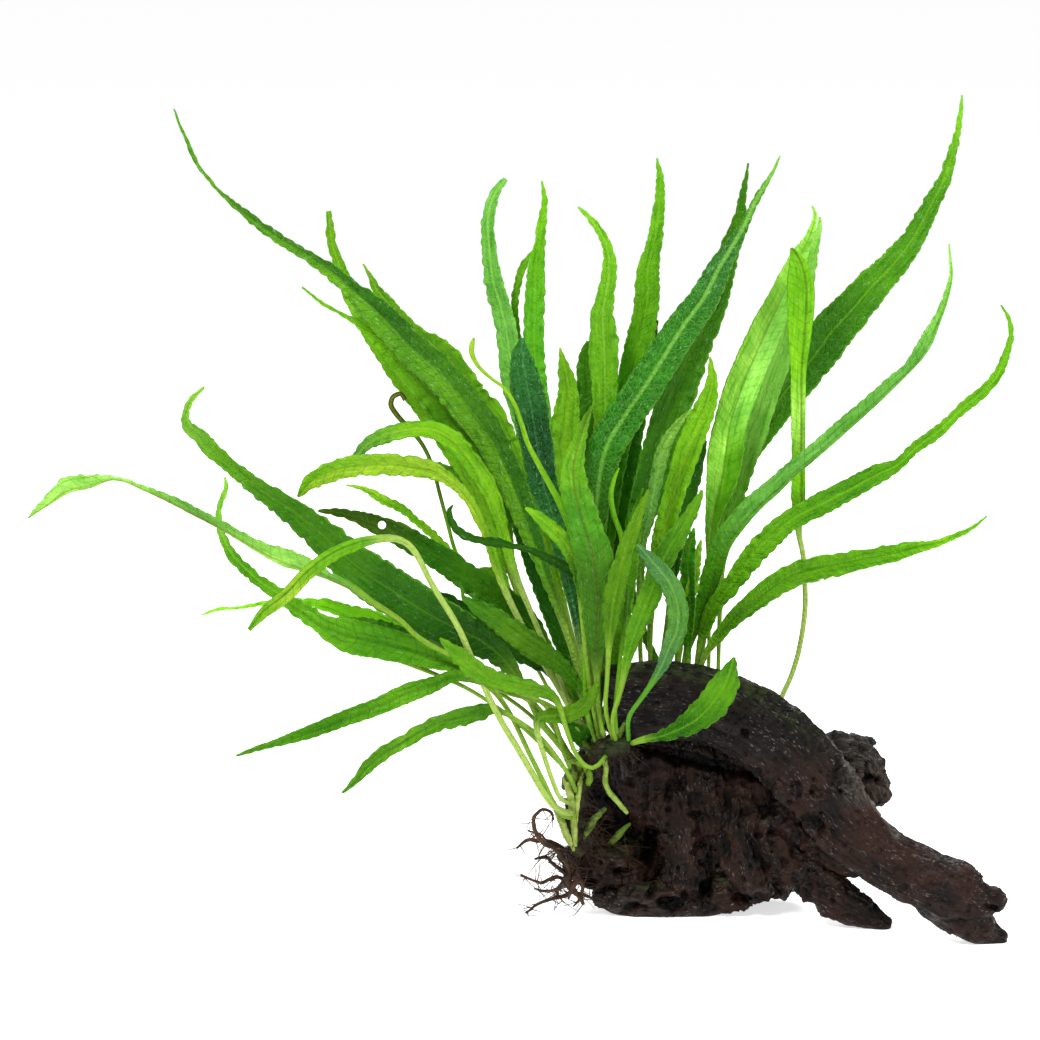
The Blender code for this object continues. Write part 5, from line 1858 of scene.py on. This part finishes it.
FRONDS = [
    # Its dark forest rib line is painted shade in the groove of its fold.
    Frond("frond_arching_lime", Side.LEFT, -0.96, (
        "573 849 2.3, 565 834, 553 813, 541 789, 521 754, 499 717 2.2, 477 671 2.1, 458 627, 433 586 2, "
        "411 547 2.2, 397 539 2.4, 379 539 3, 359 544 4.2, 335 554 5, 311 571 5.2, 287 596 5, 265 613 4.2, "
        "249 630 1.5"),
        Look("lime lime yellow_lime lime", Tone.STALK_PALE, Tone.FOREST, 0.35, 0.6, fold=-0.3, ruffle=0.4)),
    Frond("frond_left_broad_dark", Side.LEFT, -0.52, (
        "592 808 2.4, 586 784, 573 762, 559 744, 541 722, 522 685 3, 500 655 8, 475 637 13, 453 627 16, "
        "428 613 17, 400 595, 371 576, 347 557 14.5, 325 536 12.3, 306 521 10.4, 284 505 8.4, 262 490 6.9, "
        "243 475 5.8, 226 461 5.2, 211 447 5.6, 199 434 5, 187 424 3.4, 186 414 2, 191 400 1.8, "
        "204 387 0.8"),
        Look("forest deep forest leaf leaf fresh pale_lime", rib=Tone.FRESH, fold=0.3, roll=14, ruffle=0.9,
             gloss=0.6)),
    Frond("frond_low_left_upper", Side.LEFT, -0.76, (
        "568 848 1.8, 561 828, 548 792, 530 755, 506 707, 488 686 2.2, 467 678 2.8, 451 677 3.8, "
        "433 684 5.4, 406 694 6.6, 379 706 5.8, 348 717 5.2, 313 731 4.6, 289 739 3.4, 270 745 2.2, "
        "253 750 1.6, 236 756 0.6"),
        Look("leaf fresh leaf fresh", rib=Tone.FOREST, rib_wide=1.1, fold=0.4, roll=-18, ruffle=0.7,
             light=1.1)),
    Frond("frond_low_left_lower", Side.LEFT, -0.86, (
        "578 800 1.6, 570 778, 555 755, 540 737, 520 722, 504 713 2, 492 709 4.2, 480 711 6.4, 461 716 7, "
        "434 724 6.2, 403 742 5.4, 382 754 5.6, 365 769 4.6, 354 782 2.6, 342 793 0.8"),
        Look("leaf fresh fresh", rib=Tone.FOREST, rib_wide=0.8, fold=0.35, roll=16, ruffle=0.75)),
    Frond("frond_low_left_wide", Side.LEFT, -0.62, (
        "602 768 1.6, 590 745, 571 722, 547 704, 505 692, 480 677 2, 458 668 3.4, 440 661 6, 410 650 9.4, "
        "382 643 10.8, 348 636 11.6, 327 628 8, 312 619 4, 302 612 0.8"),
        Look("fresh leaf fresh", rib=Tone.DEEP, rib_wide=1.2, fold=0.4, roll=-14, light=1.3)),
    Frond("frond_left_pale_long", Side.LEFT, -0.71, (
        "576 796 1.6, 570 776, 563 754, 558 732, 545 705 1.7, 515 690, 480 670, 450 655, 418 637 1.8, "
        "400 620, 371 601 2.2, 352 587 2.6, 328 575 3.2, 306 564 5.5, 287 557 6.8, 265 548 5, 243 537 3.6, "
        "219 523 3.4, 194 511 3.2, 170 499 3, 146 489 2, 124 480 1.5, 110 478 2, 88 481 5.2, 68 484 6.3, "
        "49 499 4, 28 518 0.6"),
        Look("grey_leaf pale grey_leaf pale pale", rib=Tone.RUST, rib_at=-0.6, rib_mark=0.35, fold=0.35,
             roll=12, gloss=0.3, light=1.15), sway=15),
    Frond("frond_left_light_short", Side.LEFT, -1, (
        "598 790 1.6, 590 773, 576 754, 565 725 1.8, 558 703 2.5, 545 691 5, 513 683 6.5, 489 676 7, "
        "472 666, 455 651 5, 440 638 0.8"),
        Look("fresh lime lime", roll=20, ruffle=1.1, light=0.8)),
    Frond("frond_left_serrated", Side.LEFT, -0.58, (
        "594 750 1.6, 589 720 1.8, 580 690 3, 559 664 6, 537 649 8, 516 634, 494 617 7, 474 605 4.5, "
        "464 598 1.8, 461 586 0.8"),
        Look("bright fresh bright", ruffle=1.5, roll=-16, light=0.6)),
    Frond("frond_left_slender_hooked", Side.LEFT, -0.3, (
        "584 800 1.5, 560 765, 520 725, 470 690, 420 668 1.8, 380 652 3, 345 635 5.5, 325 623 6.6, "
        "311 615 6.8, 294 604 6, 277 592 4.8, 262 582 4.4, 245 567 4.2, 231 551 3.6, 222 532 2.8, "
        "219 516 2.2, 220 504 1.8, 226 487 1.4, 225 477 0.6"),
        Look("leaf fresh leaf pale_lime", roll=10, ruffle=1.1, light=1.3)),
    Frond("frond_left_wavy_light", Side.LEFT, -0.15, (
        "588 796 1.5, 565 755, 530 715, 480 680 1.6, 440 655 2.5, 410 638 4, 388 625 5.5, 367 616, "
        "345 611 5, 325 605 4.5, 306 602 2.8, 282 601 1.8, 262 603 1.6, 238 608 1.3, 219 609, "
        "202 615 0.6"),
        Look("fresh lime lime", roll=-14, ruffle=1.4, light=1.7)),
    Frond("frond_left_shaded", Side.LEFT, -0.4, (
        "586 796 1.5, 566 748 1.6, 535 705 2, 500 683 4, 460 664 8, 430 650 9, 400 637 8, 375 627 6, "
        "355 621 3, 338 619 0.8"),
        Look("deep forest leaf", rib=Tone.LEAF, roll=12, light=1.3)),
    Frond("frond_left_lime_blunt", Side.LEFT, -0.42, (
        "593 768 1.6, 570 710 1.8, 530 640 2, 505 590 2.5, 493 555 3.2, 482 525 3.5, 470 502, 452 482 4.5, "
        "432 470 6.5, 400 464 8, 371 464, 352 466, 330 472 7.5, 311 482 6, 298 497 1.2"),
        Look("lime yellow_lime lime", Tone.STALK_PALE, Tone.FRESH, half=Tone.YELLOW_LIME, roll=12,
             ruffle=0.9)),
    Frond("frond_left_lime_looped", Side.LEFT, -0.34, (
        "598 758 1.6, 565 690 1.8, 530 610 2, 510 560 3, 497 510 5, 485 482 6, 470 461 6.6, 455 443 6.8, "
        "438 432 6, 420 429 5.3, 400 431 5.2, 383 436 5, 369 443 4.2, 357 455 2.8, 350 463 0.8"),
        Look("lime lime lime lime grey_leaf", Tone.STALK_PALE, Tone.YELLOW_LIME, roll=-20)),
    Frond("frond_fiddlehead", Side.LEFT, -0.06, (
        "594 752 1.3, 560 690 1.4, 510 620, 470 580, 455 550, 448 525, 440 495, 432 465, 422 444 1.5, "
        "408 427 1.7, 397 415 1.9, 391 405, 393 397 1.8, 401 394 1.7, 405 400 1.5"),
        Look("lime lime yellow_lime lime lime olive olive brown", Tone.STALK_PALE)),
    Frond("frond_left_hole_bitten", Side.LEFT, -0.24, (
        "590 756 1.6, 574 705 1.8, 552 658 3, 532 627 7, 516 612 9.5, 496 597 10, 472 580 9.6, 445 561 9, "
        "416 544 8.4, 392 531 7.6, 371 522 6, 352 516 4, 333 512 2.4, 318 511 1"),
        Look("leaf forest leaf forest olive olive", rib=Tone.LEAF, roll=-12, ruffle=1.2,
             spots=0.12), hole=(382, 525, 4)),
    Frond("frond_left_thin_lime", Side.LEFT, -0.02, (
        "590 758 1.4, 560 710, 520 640, 480 590 1.6, 458 560 2.4, 445 548 3, 430 532, 415 520 2.6, "
        "400 507 3, 379 497, 364 489 1.8, 346 485 0.6"),
        Look("yellow_lime lime yellow_lime", Tone.STALK_PALE, ruffle=1.3, roll=10, light=1.3)),
    Frond("frond_left_under_dark", Side.LEFT, -0.12, (
        "596 752 1.5, 580 710 2, 550 670 5, 516 649 7, 477 622 8, 450 604 7, 428 591 3, 415 585 1"),
        Look("deep forest forest", rib=Tone.LEAF, roll=14, light=0.75)),
    Frond("frond_wavy_twig", Side.LEFT, -0.56, (
        "604 742 1.4, 600 700 1.5, 595 640 1.8, 588 600 2.6, 579 580 3.5, 567 568, 550 559 3.3, "
        "530 550 2.6, 511 546 2.2, 496 542 3.4, 477 540 2.4, 462 534 3, 452 523 2.6, 449 511 1.5, "
        "453 505 0.7"),
        Look("deep forest forest", rib=Tone.LEAF, ruffle=0.9, roll=-10, light=0.7)),
    Frond("frond_tallest_left", Side.LEFT, -0.28, (
        "598 752 1.8, 590 720, 575 660 2, 555 600 3, 540 560 5.5, 522 510 9, 505 468 11, 484 428 12, "
        "471 411 12.5, 457 393, 437 369, 417 353 12, 401 336 11.5, 385 319 10.6, 368 303 9.5, 352 289 6.8, "
        "335 274 5.4, 312 258 4.2, 296 248 3.8, 271 233 3.9, 250 218 3.2, 230 201 2, 218 190 1.2, 208 178, "
        "198 165 1.1, 192 153 1.4, 187 141 1.2, 180 126 0.9, 174 109 0.6"),
        Look("forest forest leaf forest leaf fresh", rib=Tone.FRESH, fold=0.3, half=Tone.FRESH, roll=10,
             ruffle=1.1, blister=1, gloss=1)),
    Frond("frond_lime_hooked", Side.LEFT, 0.04, (
        "592 745 1.8, 560 690 2, 520 620 2.5, 505 590 3.5, 497 560 4.5, 490 535 5.5, 482 500 6.5, "
        "470 475 7.5, 455 450 8.5, 439 425 9, 423 401 9.5, 398 367, 375 335 8, 356 305 6, 347 287 5, "
        "338 262 3.6, 332 245 3, 330 230 2.8, 328 211 1.6"),
        Look("leaf lime lime lime fresh", Tone.STALK_PALE, Tone.YELLOW_LIME, roll=-14)),
    Frond("frond_behind_tallest", Side.LEFT, 0.12, (
        "597 740 1.6, 585 690 1.8, 565 610 2.4, 548 550 4.5, 530 500 7, 510 450 8.5, 492 414 9, 473 396 10, "
        "453 365, 435 347 9, 419 336 6.5, 400 318 6, 386 300 4.5, 378 290 3, 371 277 1.6, 363 264 0.6"),
        Look("lime lime fresh", rib=Tone.YELLOW_LIME, roll=16)),
    Frond("frond_curled_tail", Side.LEFT, -0.2, (
        "590 750 1.6, 560 690, 530 630, 518 593, 513 565 1.8, 508 535 3.5, 501 505 7.5, 490 478 10, "
        "475 450 11.5, 457 425 12, 435 397 11.5, 410 367 10.5, 386 340 9, 366 326 5.5, 355 321 2.6, "
        "346 317 1.6, 338 312 1.2, 325 305 1.3, 313 296 0.9, 302 287 0.6"),
        Look("leaf leaf fresh lime lime", Tone.YELLOW_LIME, Tone.FRESH, roll=-12)),
    Frond("frond_grey_blunt", Side.LEFT, 0.2, (
        "600 735 1.6, 590 680 1.8, 570 600 2.5, 550 520 6, 530 440 8.5, 515 380, 506 328 7.5, 500 304 7, "
        "494 284 6.5, 491 265 5.5, 489 245 5, 488 226 4.5, 490 207 4, 496 192 3.5, 506 179 2"),
        Look("leaf grey_leaf grey_leaf grey_leaf", rib=Tone.PALE, fold=0.35, roll=14, light=1.3)),
    Frond("frond_centre_left_upright", Side.LEFT, 0.28, (
        "601 735 1.6, 592 670 1.8, 570 560 3, 550 470 6, 538 391 7, 534 338 7.2, 534 308 7, 535 279 6.6, "
        "536 262 6, 539 246 4.2, 541 230 3.2, 543 216 2.6, 544 197 1.8, 542 181 0.7"),
        Look("leaf bright bright lime", rib=Tone.LIME, roll=-14, light=1.15)),
    Frond("frond_centre_forward_curve", Side.LEFT, 0.38, (
        "603 730 1.6, 600 650 1.8, 600 560 3, 603 480 6, 606 430 8, 605 381 9.5, 604 345 10.5, 603 313 8, "
        "606 294 6, 609 275 5, 609 255 4, 603 236 3.4, 591 219 2.4, 578 207 0.6"),
        Look("fresh lime fresh lime", rib=Tone.PALE_LIME, roll=16, light=1.2)),
    Frond("frond_centre_upright", Side.LEFT, 0.56, (
        "603 728 1.6, 604 650 1.8, 608 560 3, 615 470 7, 625 410 9, 634 367 10, 640 342, 644 318 9.5, "
        "647 294 9, 647 270 8, 652 250 6, 656 231 5, 659 207 4, 660 178 2.8, 657 158 0.6"),
        Look("leaf bright fresh fresh", rib=Tone.LIME, roll=-10, light=1.25)),
    Frond("frond_narrow_whip", Side.LEFT, -0.66, (
        "589 750 1.6, 585 690, 583 600 1.8, 573 540 2, 565 515 2.4, 555 494 2.2, 538 463 1.9, 528 444 1.8, "
        "521 422 1.6, 514 403 1.4, 504 388 1.2, 492 379, 479 367 1.4, 472 354 1.8, 472 345, 474 338 0.8"),
        Look("lime lime yellow_lime", Tone.STALK_PALE, ruffle=0.6)),
    Frond("frond_front_lime_centre", Side.LEFT, -0.8, (
        "597 735 1.8, 597 680 2, 596 642 6, 597 615 9.8, 597 586 13, 593 554 13.5, 586 530 12, 579 506 11, "
        "574 484 9.5, 574 462 7, 579 443 4.5, 584 425 3, 592 406 0.7"),
        Look("forest leaf leaf bright lime fresh", rib=Tone.BROWN, rib_mark=0.4, fold=0.1, roll=8, gloss=0.7,
             spots=0.15)),
    Frond("frond_front_lime_left", Side.LEFT, -0.73, (
        "599 742 1.5, 592 700 1.6, 586 655 1.8, 582 610 2.2, 580 585 3.2, 575 563 4.6, 566 545 5.4, "
        "554 531 5.2, 540 518 4, 525 508 0.9"),
        Look("forest leaf fresh lime lime", rib=Tone.YELLOW_LIME, roll=-18)),
    Frond("frond_centre_blistered", Side.LEFT, -0.46, (
        "597 750 1.8, 588 700 2, 582 650 2.4, 575 610 3.2, 567 572 4.5, 557 529 7, 544 485 10, "
        "540 463 10.6, 535 430 11.6, 530 400 12, 525 372 10, 522 352 6.2, 522 338 1.2"),
        Look("blue_dark blue_leaf blue_dark blue_leaf", rib=Tone.BLUE_GREY, blister=1.8, gloss=1, roll=8,
             light=1.4)),
    Frond("frond_centre_lime_tip", Side.LEFT, 0.1, (
        "600 742 1.5, 595 670 1.8, 580 560 3, 567 480 8, 565 444 10, 566 415 9.5, 568 391 7, 565 371 5, "
        "562 358 2.2, 560 348 0.7"),
        Look("fresh lime lime", rib=Tone.YELLOW_LIME, roll=-12, light=0.85)),
    Frond("frond_centre_dark", Side.LEFT, 0.48, (
        "600 724 1.6, 600 660 1.8, 598 600 3, 597 540 7, 595 490 9, 591 420, 588 391 8, 586 367 6, "
        "587 351 4, 588 341 1.4"),
        Look("deep forest leaf", rib=Tone.LEAF, roll=14)),
    Frond("frond_right_of_centre_dark", Side.LEFT, 0.32, (
        "601 745 1.8, 602 690 2, 612 620 3, 631 550 7.5, 645 505 11, 655 465 12.5, 666 425 13, 679 385, "
        "694 345 12.5, 712 305 10.5, 726 260 8, 738 222 4.6, 744 190 2.4, 748 163 0.7"),
        Look("deep forest leaf leaf leaf", rib=Tone.LEAF, roll=-12, ruffle=1.1, gloss=0.8)),
    Frond("frond_right_of_centre_bright", Side.LEFT, 0.24, (
        "602 750 1.8, 600 690 2, 597 600 3, 595 540 6, 598 490 10, 606 449 12.6, 624 417 13, 644 388, "
        "664 357 12.4, 684 325 11.6, 702 301 10.6, 718 270 8.4, 733 245 5.4, 745 224 3.2, 752 208 2.6, "
        "758 196 2.2, 767 182 1.5, 774 170 1, 780 156 0.5"),
        Look("deep forest emerald emerald blue_leaf leaf", rib=Tone.PALE, rib_mark=0.45, rib_wide=1.1,
             fold=0.25, roll=8, blister=1, gloss=1, light=1.2)),
    Frond("frond_right_lime_short", Side.BACK, 0.12, (
        "652 705 1.6, 650 640 2, 653 580 4, 660 545 6, 672 500 7.5, 688 451 8.7, 697 427 8.5, 707 403 7, "
        "712 382 4, 711 366 1.8, 710 357 0.7"),
        Look("fresh lime lime", rib=Tone.YELLOW_LIME, roll=12)),
    Frond("frond_right_lime_slim", Side.BACK, -0.06, (
        "643 708 1.5, 640 640 1.8, 640 590 2.5, 642 545 3.5, 650 510 4, 657 478 4.5, 661 459 5, 668 439 4, "
        "680 422 2.5, 691 409 0.7"),
        Look("fresh grey_leaf pale_lime", rib=Tone.PALE, roll=-10, blister=1, light=0.85)),
    Frond("frond_front_lime_right", Side.FRONT, -0.74, (
        "598 727 1.5, 605 700 1.6, 608 665 1.7, 609 645 2.4, 610 628 4.5, 612 611 6.5, 615 594 7.4, "
        "619 576 7.2, 623 559 6.2, 628 541 5.4, 634 528 4.3, 639 515 3.2, 644 502 2.2, 648 490 0.9"),
        Look("fresh lime lime", rib=Tone.YELLOW_LIME, roll=14, light=0.6)),
    Frond("frond_right_dark_short", Side.BACK, 0.42, (
        "662 708 1.6, 662 660, 667 620, 672 580 3, 676 540 7, 684 495 9, 694 465 7, 705 440 2"),
        Look("deep forest deep", rib=Tone.LEAF, roll=-14, light=0.75)),
    Frond("frond_pale_underside", Side.BACK, 0.6, (
        "709 715 1.5, 709 666 1.4, 709 610, 709 560 2, 711 535 4, 714 513 6, 721 482 11, 726 450 13, "
        "730 425 12, 740 393 12.5, 751 366, 765 334 12, 784 293 9.5, 800 255 6, 808 240 3.5, 814 223 2, "
        "815 213 1.2, 812 206 0.6"),
        Look("fresh fresh pale pale pale_lime", rib=Tone.OLIVE, rib_mark=0.4, fold=-0.04,
             half=Tone.PALE_LIME, ruffle=0.6, gloss=0.3, light=1.5)),
    Frond("frond_pale_behind", Side.BACK, 0.75, (
        "718 718 1.5, 719 640 1.6, 723 560 2.5, 735 500 6, 755 430 9, 777 360 9.6, 795 310 8.5, 807 275 6, "
        "813 250 3.6, 818 232 2.2, 820 217 0.8"),
        Look("fresh pale pale", rib=Tone.PALE_LIME, roll=-10, ruffle=0.9, gloss=0.3)),
    Frond("frond_upright_folded", Side.BACK, 0.5, (
        "788 716 1.9, 785 698, 792 676, 798 654, 802 634, 805 610 2, 805 586, 803 554, 799 535 2.2, "
        "798 500 5, 798 470 5.2, 798 440, 798 400 5.4, 798 370 5.8, 799 340 8, 800 310 9.8, 800 285, "
        "798 268 7.5, 795 256 4, 791 248 1"),
        Look("lime lime pale_lime lime lime lime", Tone.STALK_PALE, Tone.OLIVE, 0.42, 0.6, 0.7, fold=0.5,
             ruffle=0.5, light=1.2)),
    Frond("frond_right_broad_dark", Side.BACK, 0.95, (
        "700 712 2, 702 660, 708 600 2.2, 718 540 2.4, 731 490 3.6, 744 462 6.5, 755 440 10, 768 417 12.5, "
        "784 393 14, 803 370 15, 817 352 15.5, 832 331, 851 311 14.2, 871 287 12.8, 893 264 10.4, "
        "913 238 8.5, 930 207 7, 945 177 5, 953 150 3.4, 958 128 2.2, 961 108 1.4, 962 95 0.7"),
        Look("leaf leaf forest leaf leaf lime", rib=Tone.LIME, fold=0.28, roll=-8, gloss=0.8, light=1.2)),
    Frond("frond_right_slender", Side.BACK, 0.32, (
        "680 710 1.9, 685 659 2.2, 690 640 3.5, 698 616 5.4, 708 586 6.8, 715 562 7.4, 722 542, "
        "735 524 7.2, 755 502 6.6, 773 487 6, 790 471 5.4, 806 458 5.2, 840 428 5.4, 873 399 4.9, "
        "893 381 4.2, 907 369 3.2, 918 355 4.2, 927 340 4.6, 935 323 3.4, 943 305 2.4, 948 290 1.8, "
        "951 275 1.3, 950 258 1, 949 244 0.6"),
        Look("leaf leaf grey_leaf grey_leaf grey_leaf pale", rib=Tone.OLIVE, rib_at=0.55, fold=0.3, roll=8,
             light=1.3)),
    Frond("frond_right_long", Side.BACK, 0.22, (
        "694 712 1.9, 698 660 2.2, 704 632 4, 714 607 5.6, 733 582 6.6, 750 559 7.8, 770 537 8.2, "
        "793 519 7.7, 820 505 8.1, 847 491 7.4, 880 473 6.5, 897 465 3.8, 917 447 4, 940 430 4.2, "
        "960 411 3.9, 983 392 4, 997 376 3.4, 1006 355 2.6, 1011 335 2, 1008 317 1.4, 1001 305 0.6"),
        Look("fresh fresh leaf fresh fresh", rib=Tone.LIME, roll=10, ruffle=1.1, light=1.3), sway=-20),
    Frond("frond_right_low", Side.BACK, 0.12, (
        "706 714 1.8, 700 675, 706 654 2.2, 718 637 4.5, 730 622 5.8, 743 609 7.6, 763 593 9.4, 787 578 11, "
        "810 570 11.6, 840 564 10, 867 558 8, 890 554 7, 917 547 4.6, 933 544 3, 953 537 2.4, 973 527 1.4, "
        "987 516 0.6"),
        Look("fresh fresh fresh lime", rib=Tone.FOREST, fold=0.2, roll=-4, ruffle=0.6, light=1.5), sway=-45),
    Frond("frond_right_spotted_dark", Side.BACK, 0.02, (
        "687 710 1.6, 688 640 3, 690 600 4.5, 688 570 5.5, 690 545 4, 694 528 1"),
        Look("forest deep forest", rib=Tone.LEAF, spots=0.9, roll=10, light=1.8)),
    Frond("frond_front_lime_leaning", Side.FRONT, -0.79, (
        "606 742 1.5, 612 717 1.6, 618 700 1.7, 624 675 2.4, 628 655 4, 635 630 6, 645 605 7.5, 655 580 8, "
        "665 555 7.5, 680 530 6.5, 693 508 4, 702 490 1"),
        Look("fresh fresh leaf fresh", rib=Tone.LIME, roll=-12, light=0.9)),
    Frond("frond_blue_drooping", Side.FRONT, -0.92, (
        "622 733 1.6, 627 718, 638 703, 652 683 2.2, 662 665 3.8, 669 648 5.4, 677 631 6.6, 679 614 7.2, "
        "676 597, 670 583 6.8, 659 569 6, 648 556 4.2, 637 544 1"),
        Look("blue_grey grey_leaf blue_grey", Tone.STALK_GREEN, Tone.PALE, roll=12, fold=0.3, gloss=0.9,
             light=0.8)),
    Frond("frond_on_the_wood", Side.FRONT, -0.84, (
        "630 741 1.8, 645 739 2.5, 660 736 3.3, 674 731 5, 696 719 9, 713 702 10.5, 725 683 9.5, 731 668 5, "
        "734 657 1.4"),
        Look("deep forest leaf fresh leaf", rib=Tone.LIME, roll=-10, ruffle=1.4), sway=12),
    Frond("frond_folded_over", Side.LEFT, -0.93, (
        "566 815 1.5, 556 790 1.6, 547 765 1.7, 537 728 2.4, 539 718 3.4, 551 716 5, 569 714 5.5, "
        "584 706 5, 592 695 4, 598 682 1.6"),
        Look("fresh lime lime", Tone.STALK_PALE, Tone.YELLOW_LIME, roll=20, ruffle=0.8, light=0.6)),
    Frond("leaf_behind_centre", Side.LEFT, 0.34, (
        "603 738 1.5, 590 690 1.8, 560 560 2, 535 460 3, 520 380 3.5, 517 340 3, 515 310 2.6, 517 289, "
        "523 267, 535 250 1"),
        Look("leaf fresh lime", roll=10), solid=False),
    Frond("leaf_lime_strip", Side.BACK, 0.05, (
        "676 705 1.5, 678 658 2.5, 683 620 4, 691 586 4.5, 697 560 3, 701 540 0.8"),
        Look("fresh lime lime", rib=Tone.YELLOW_LIME, roll=-12), solid=False),
    Frond("leaf_behind_slab", Side.BACK, 0.18, (
        "660 700 1.5, 656 661 2.6, 648 643 2.8, 640 622 3.5, 633 600 4, 628 575 3, 626 560 0.8"),
        Look("leaf fresh fresh", roll=12), solid=False),
    Frond("leaf_left_inner", Side.LEFT, 0.05, (
        "596 755 1.5, 560 690 1.8, 520 600 2, 500 540 3, 490 505 5, 478 488 6, 455 476, 430 466 4, "
        "415 462 1"),
        Look("forest leaf fresh", rib=Tone.LIME, roll=14), solid=False),
    Frond("leaf_front_twisted", Side.FRONT, -0.65, (
        "612 735 1.3, 620 660 1.4, 626 600 1.5, 624 560 1.7, 621 535 1.8, 614 515, 611 495, 614 480 1.4, "
        "619 468 0.5"),
        Look("lime fresh lime", Tone.STALK_PALE), solid=False),
    Frond("leaf_left_of_neck", Side.LEFT, -0.35, (
        "601 735 1.8, 592 718 3, 584 704 4.5, 576 690 5, 571 678 4, 567 664 1"),
        Look("leaf fresh lime", roll=-14), solid=False),
    Frond("leaf_dark_triangle", Side.LEFT, -0.62, (
        "603 758 2, 594 748 5, 580 735 7, 570 727 4, 560 721 0.8"),
        Look("deep forest deep", rib=Tone.LEAF), solid=False),
    Frond("leaf_dark_inner", Side.LEFT, 0.16, (
        "594 745 1.6, 584 705 3, 572 665 6, 558 620 8.5, 542 575 9.5, 526 530 9, 513 490 7, 503 455 4, "
        "497 430 1"),
        Look("forest deep forest", rib=Tone.LEAF, roll=8), solid=False),
    Frond("leaf_dark_shadowed", Side.LEFT, 0.62, (
        "618 720 1.6, 614 680 4, 612 640 7, 612 590 9, 615 540 10, 621 490, 629 445 9.5, 640 395 7, "
        "650 350 4, 657 320 1"),
        Look("deep forest deep", rib=Tone.LEAF, roll=-8), solid=False),
    Frond("leaf_mid_broad", Side.LEFT, 0.0, (
        "610 728 1.6, 611 690 3, 614 655 6, 619 615 8.5, 626 575 8, 633 535 5.5, 639 505 3, 643 488 0.8"),
        Look("leaf fresh leaf", rib=Tone.FRESH, roll=10), solid=False),
    Frond("leaf_small_tip", Side.LEFT, 0.02, (
        "592 752 1.3, 560 690 1.4, 525 625 1.5, 508 590 2.4, 500 575 4, 490 571 3, 480 568 0.8"),
        Look("lime fresh", roll=10), solid=False),
]


def main() -> None:
    """Builds and dresses every piece, in order."""
    logging.basicConfig(level=logging.INFO, format="%(message)s")
    Studio().build()
    WOOD.dress(WOOD.build())
    for seed, stem in enumerate(RHIZOMES, 301):
        stem.dress(stem.build(seed))
    for seed, bundle in enumerate(BUNDLES, 401):
        bundle.dress(bundle.build(seed))
    points, radii = zip(*(stem.strand.sampled(8) for stem in RHIZOMES))
    core = Core(np.vstack(points), np.concatenate(radii))
    for number, frond in enumerate(FRONDS):
        frond.dress(frond.build(number, core))


if __name__ == "__main__":
    main()
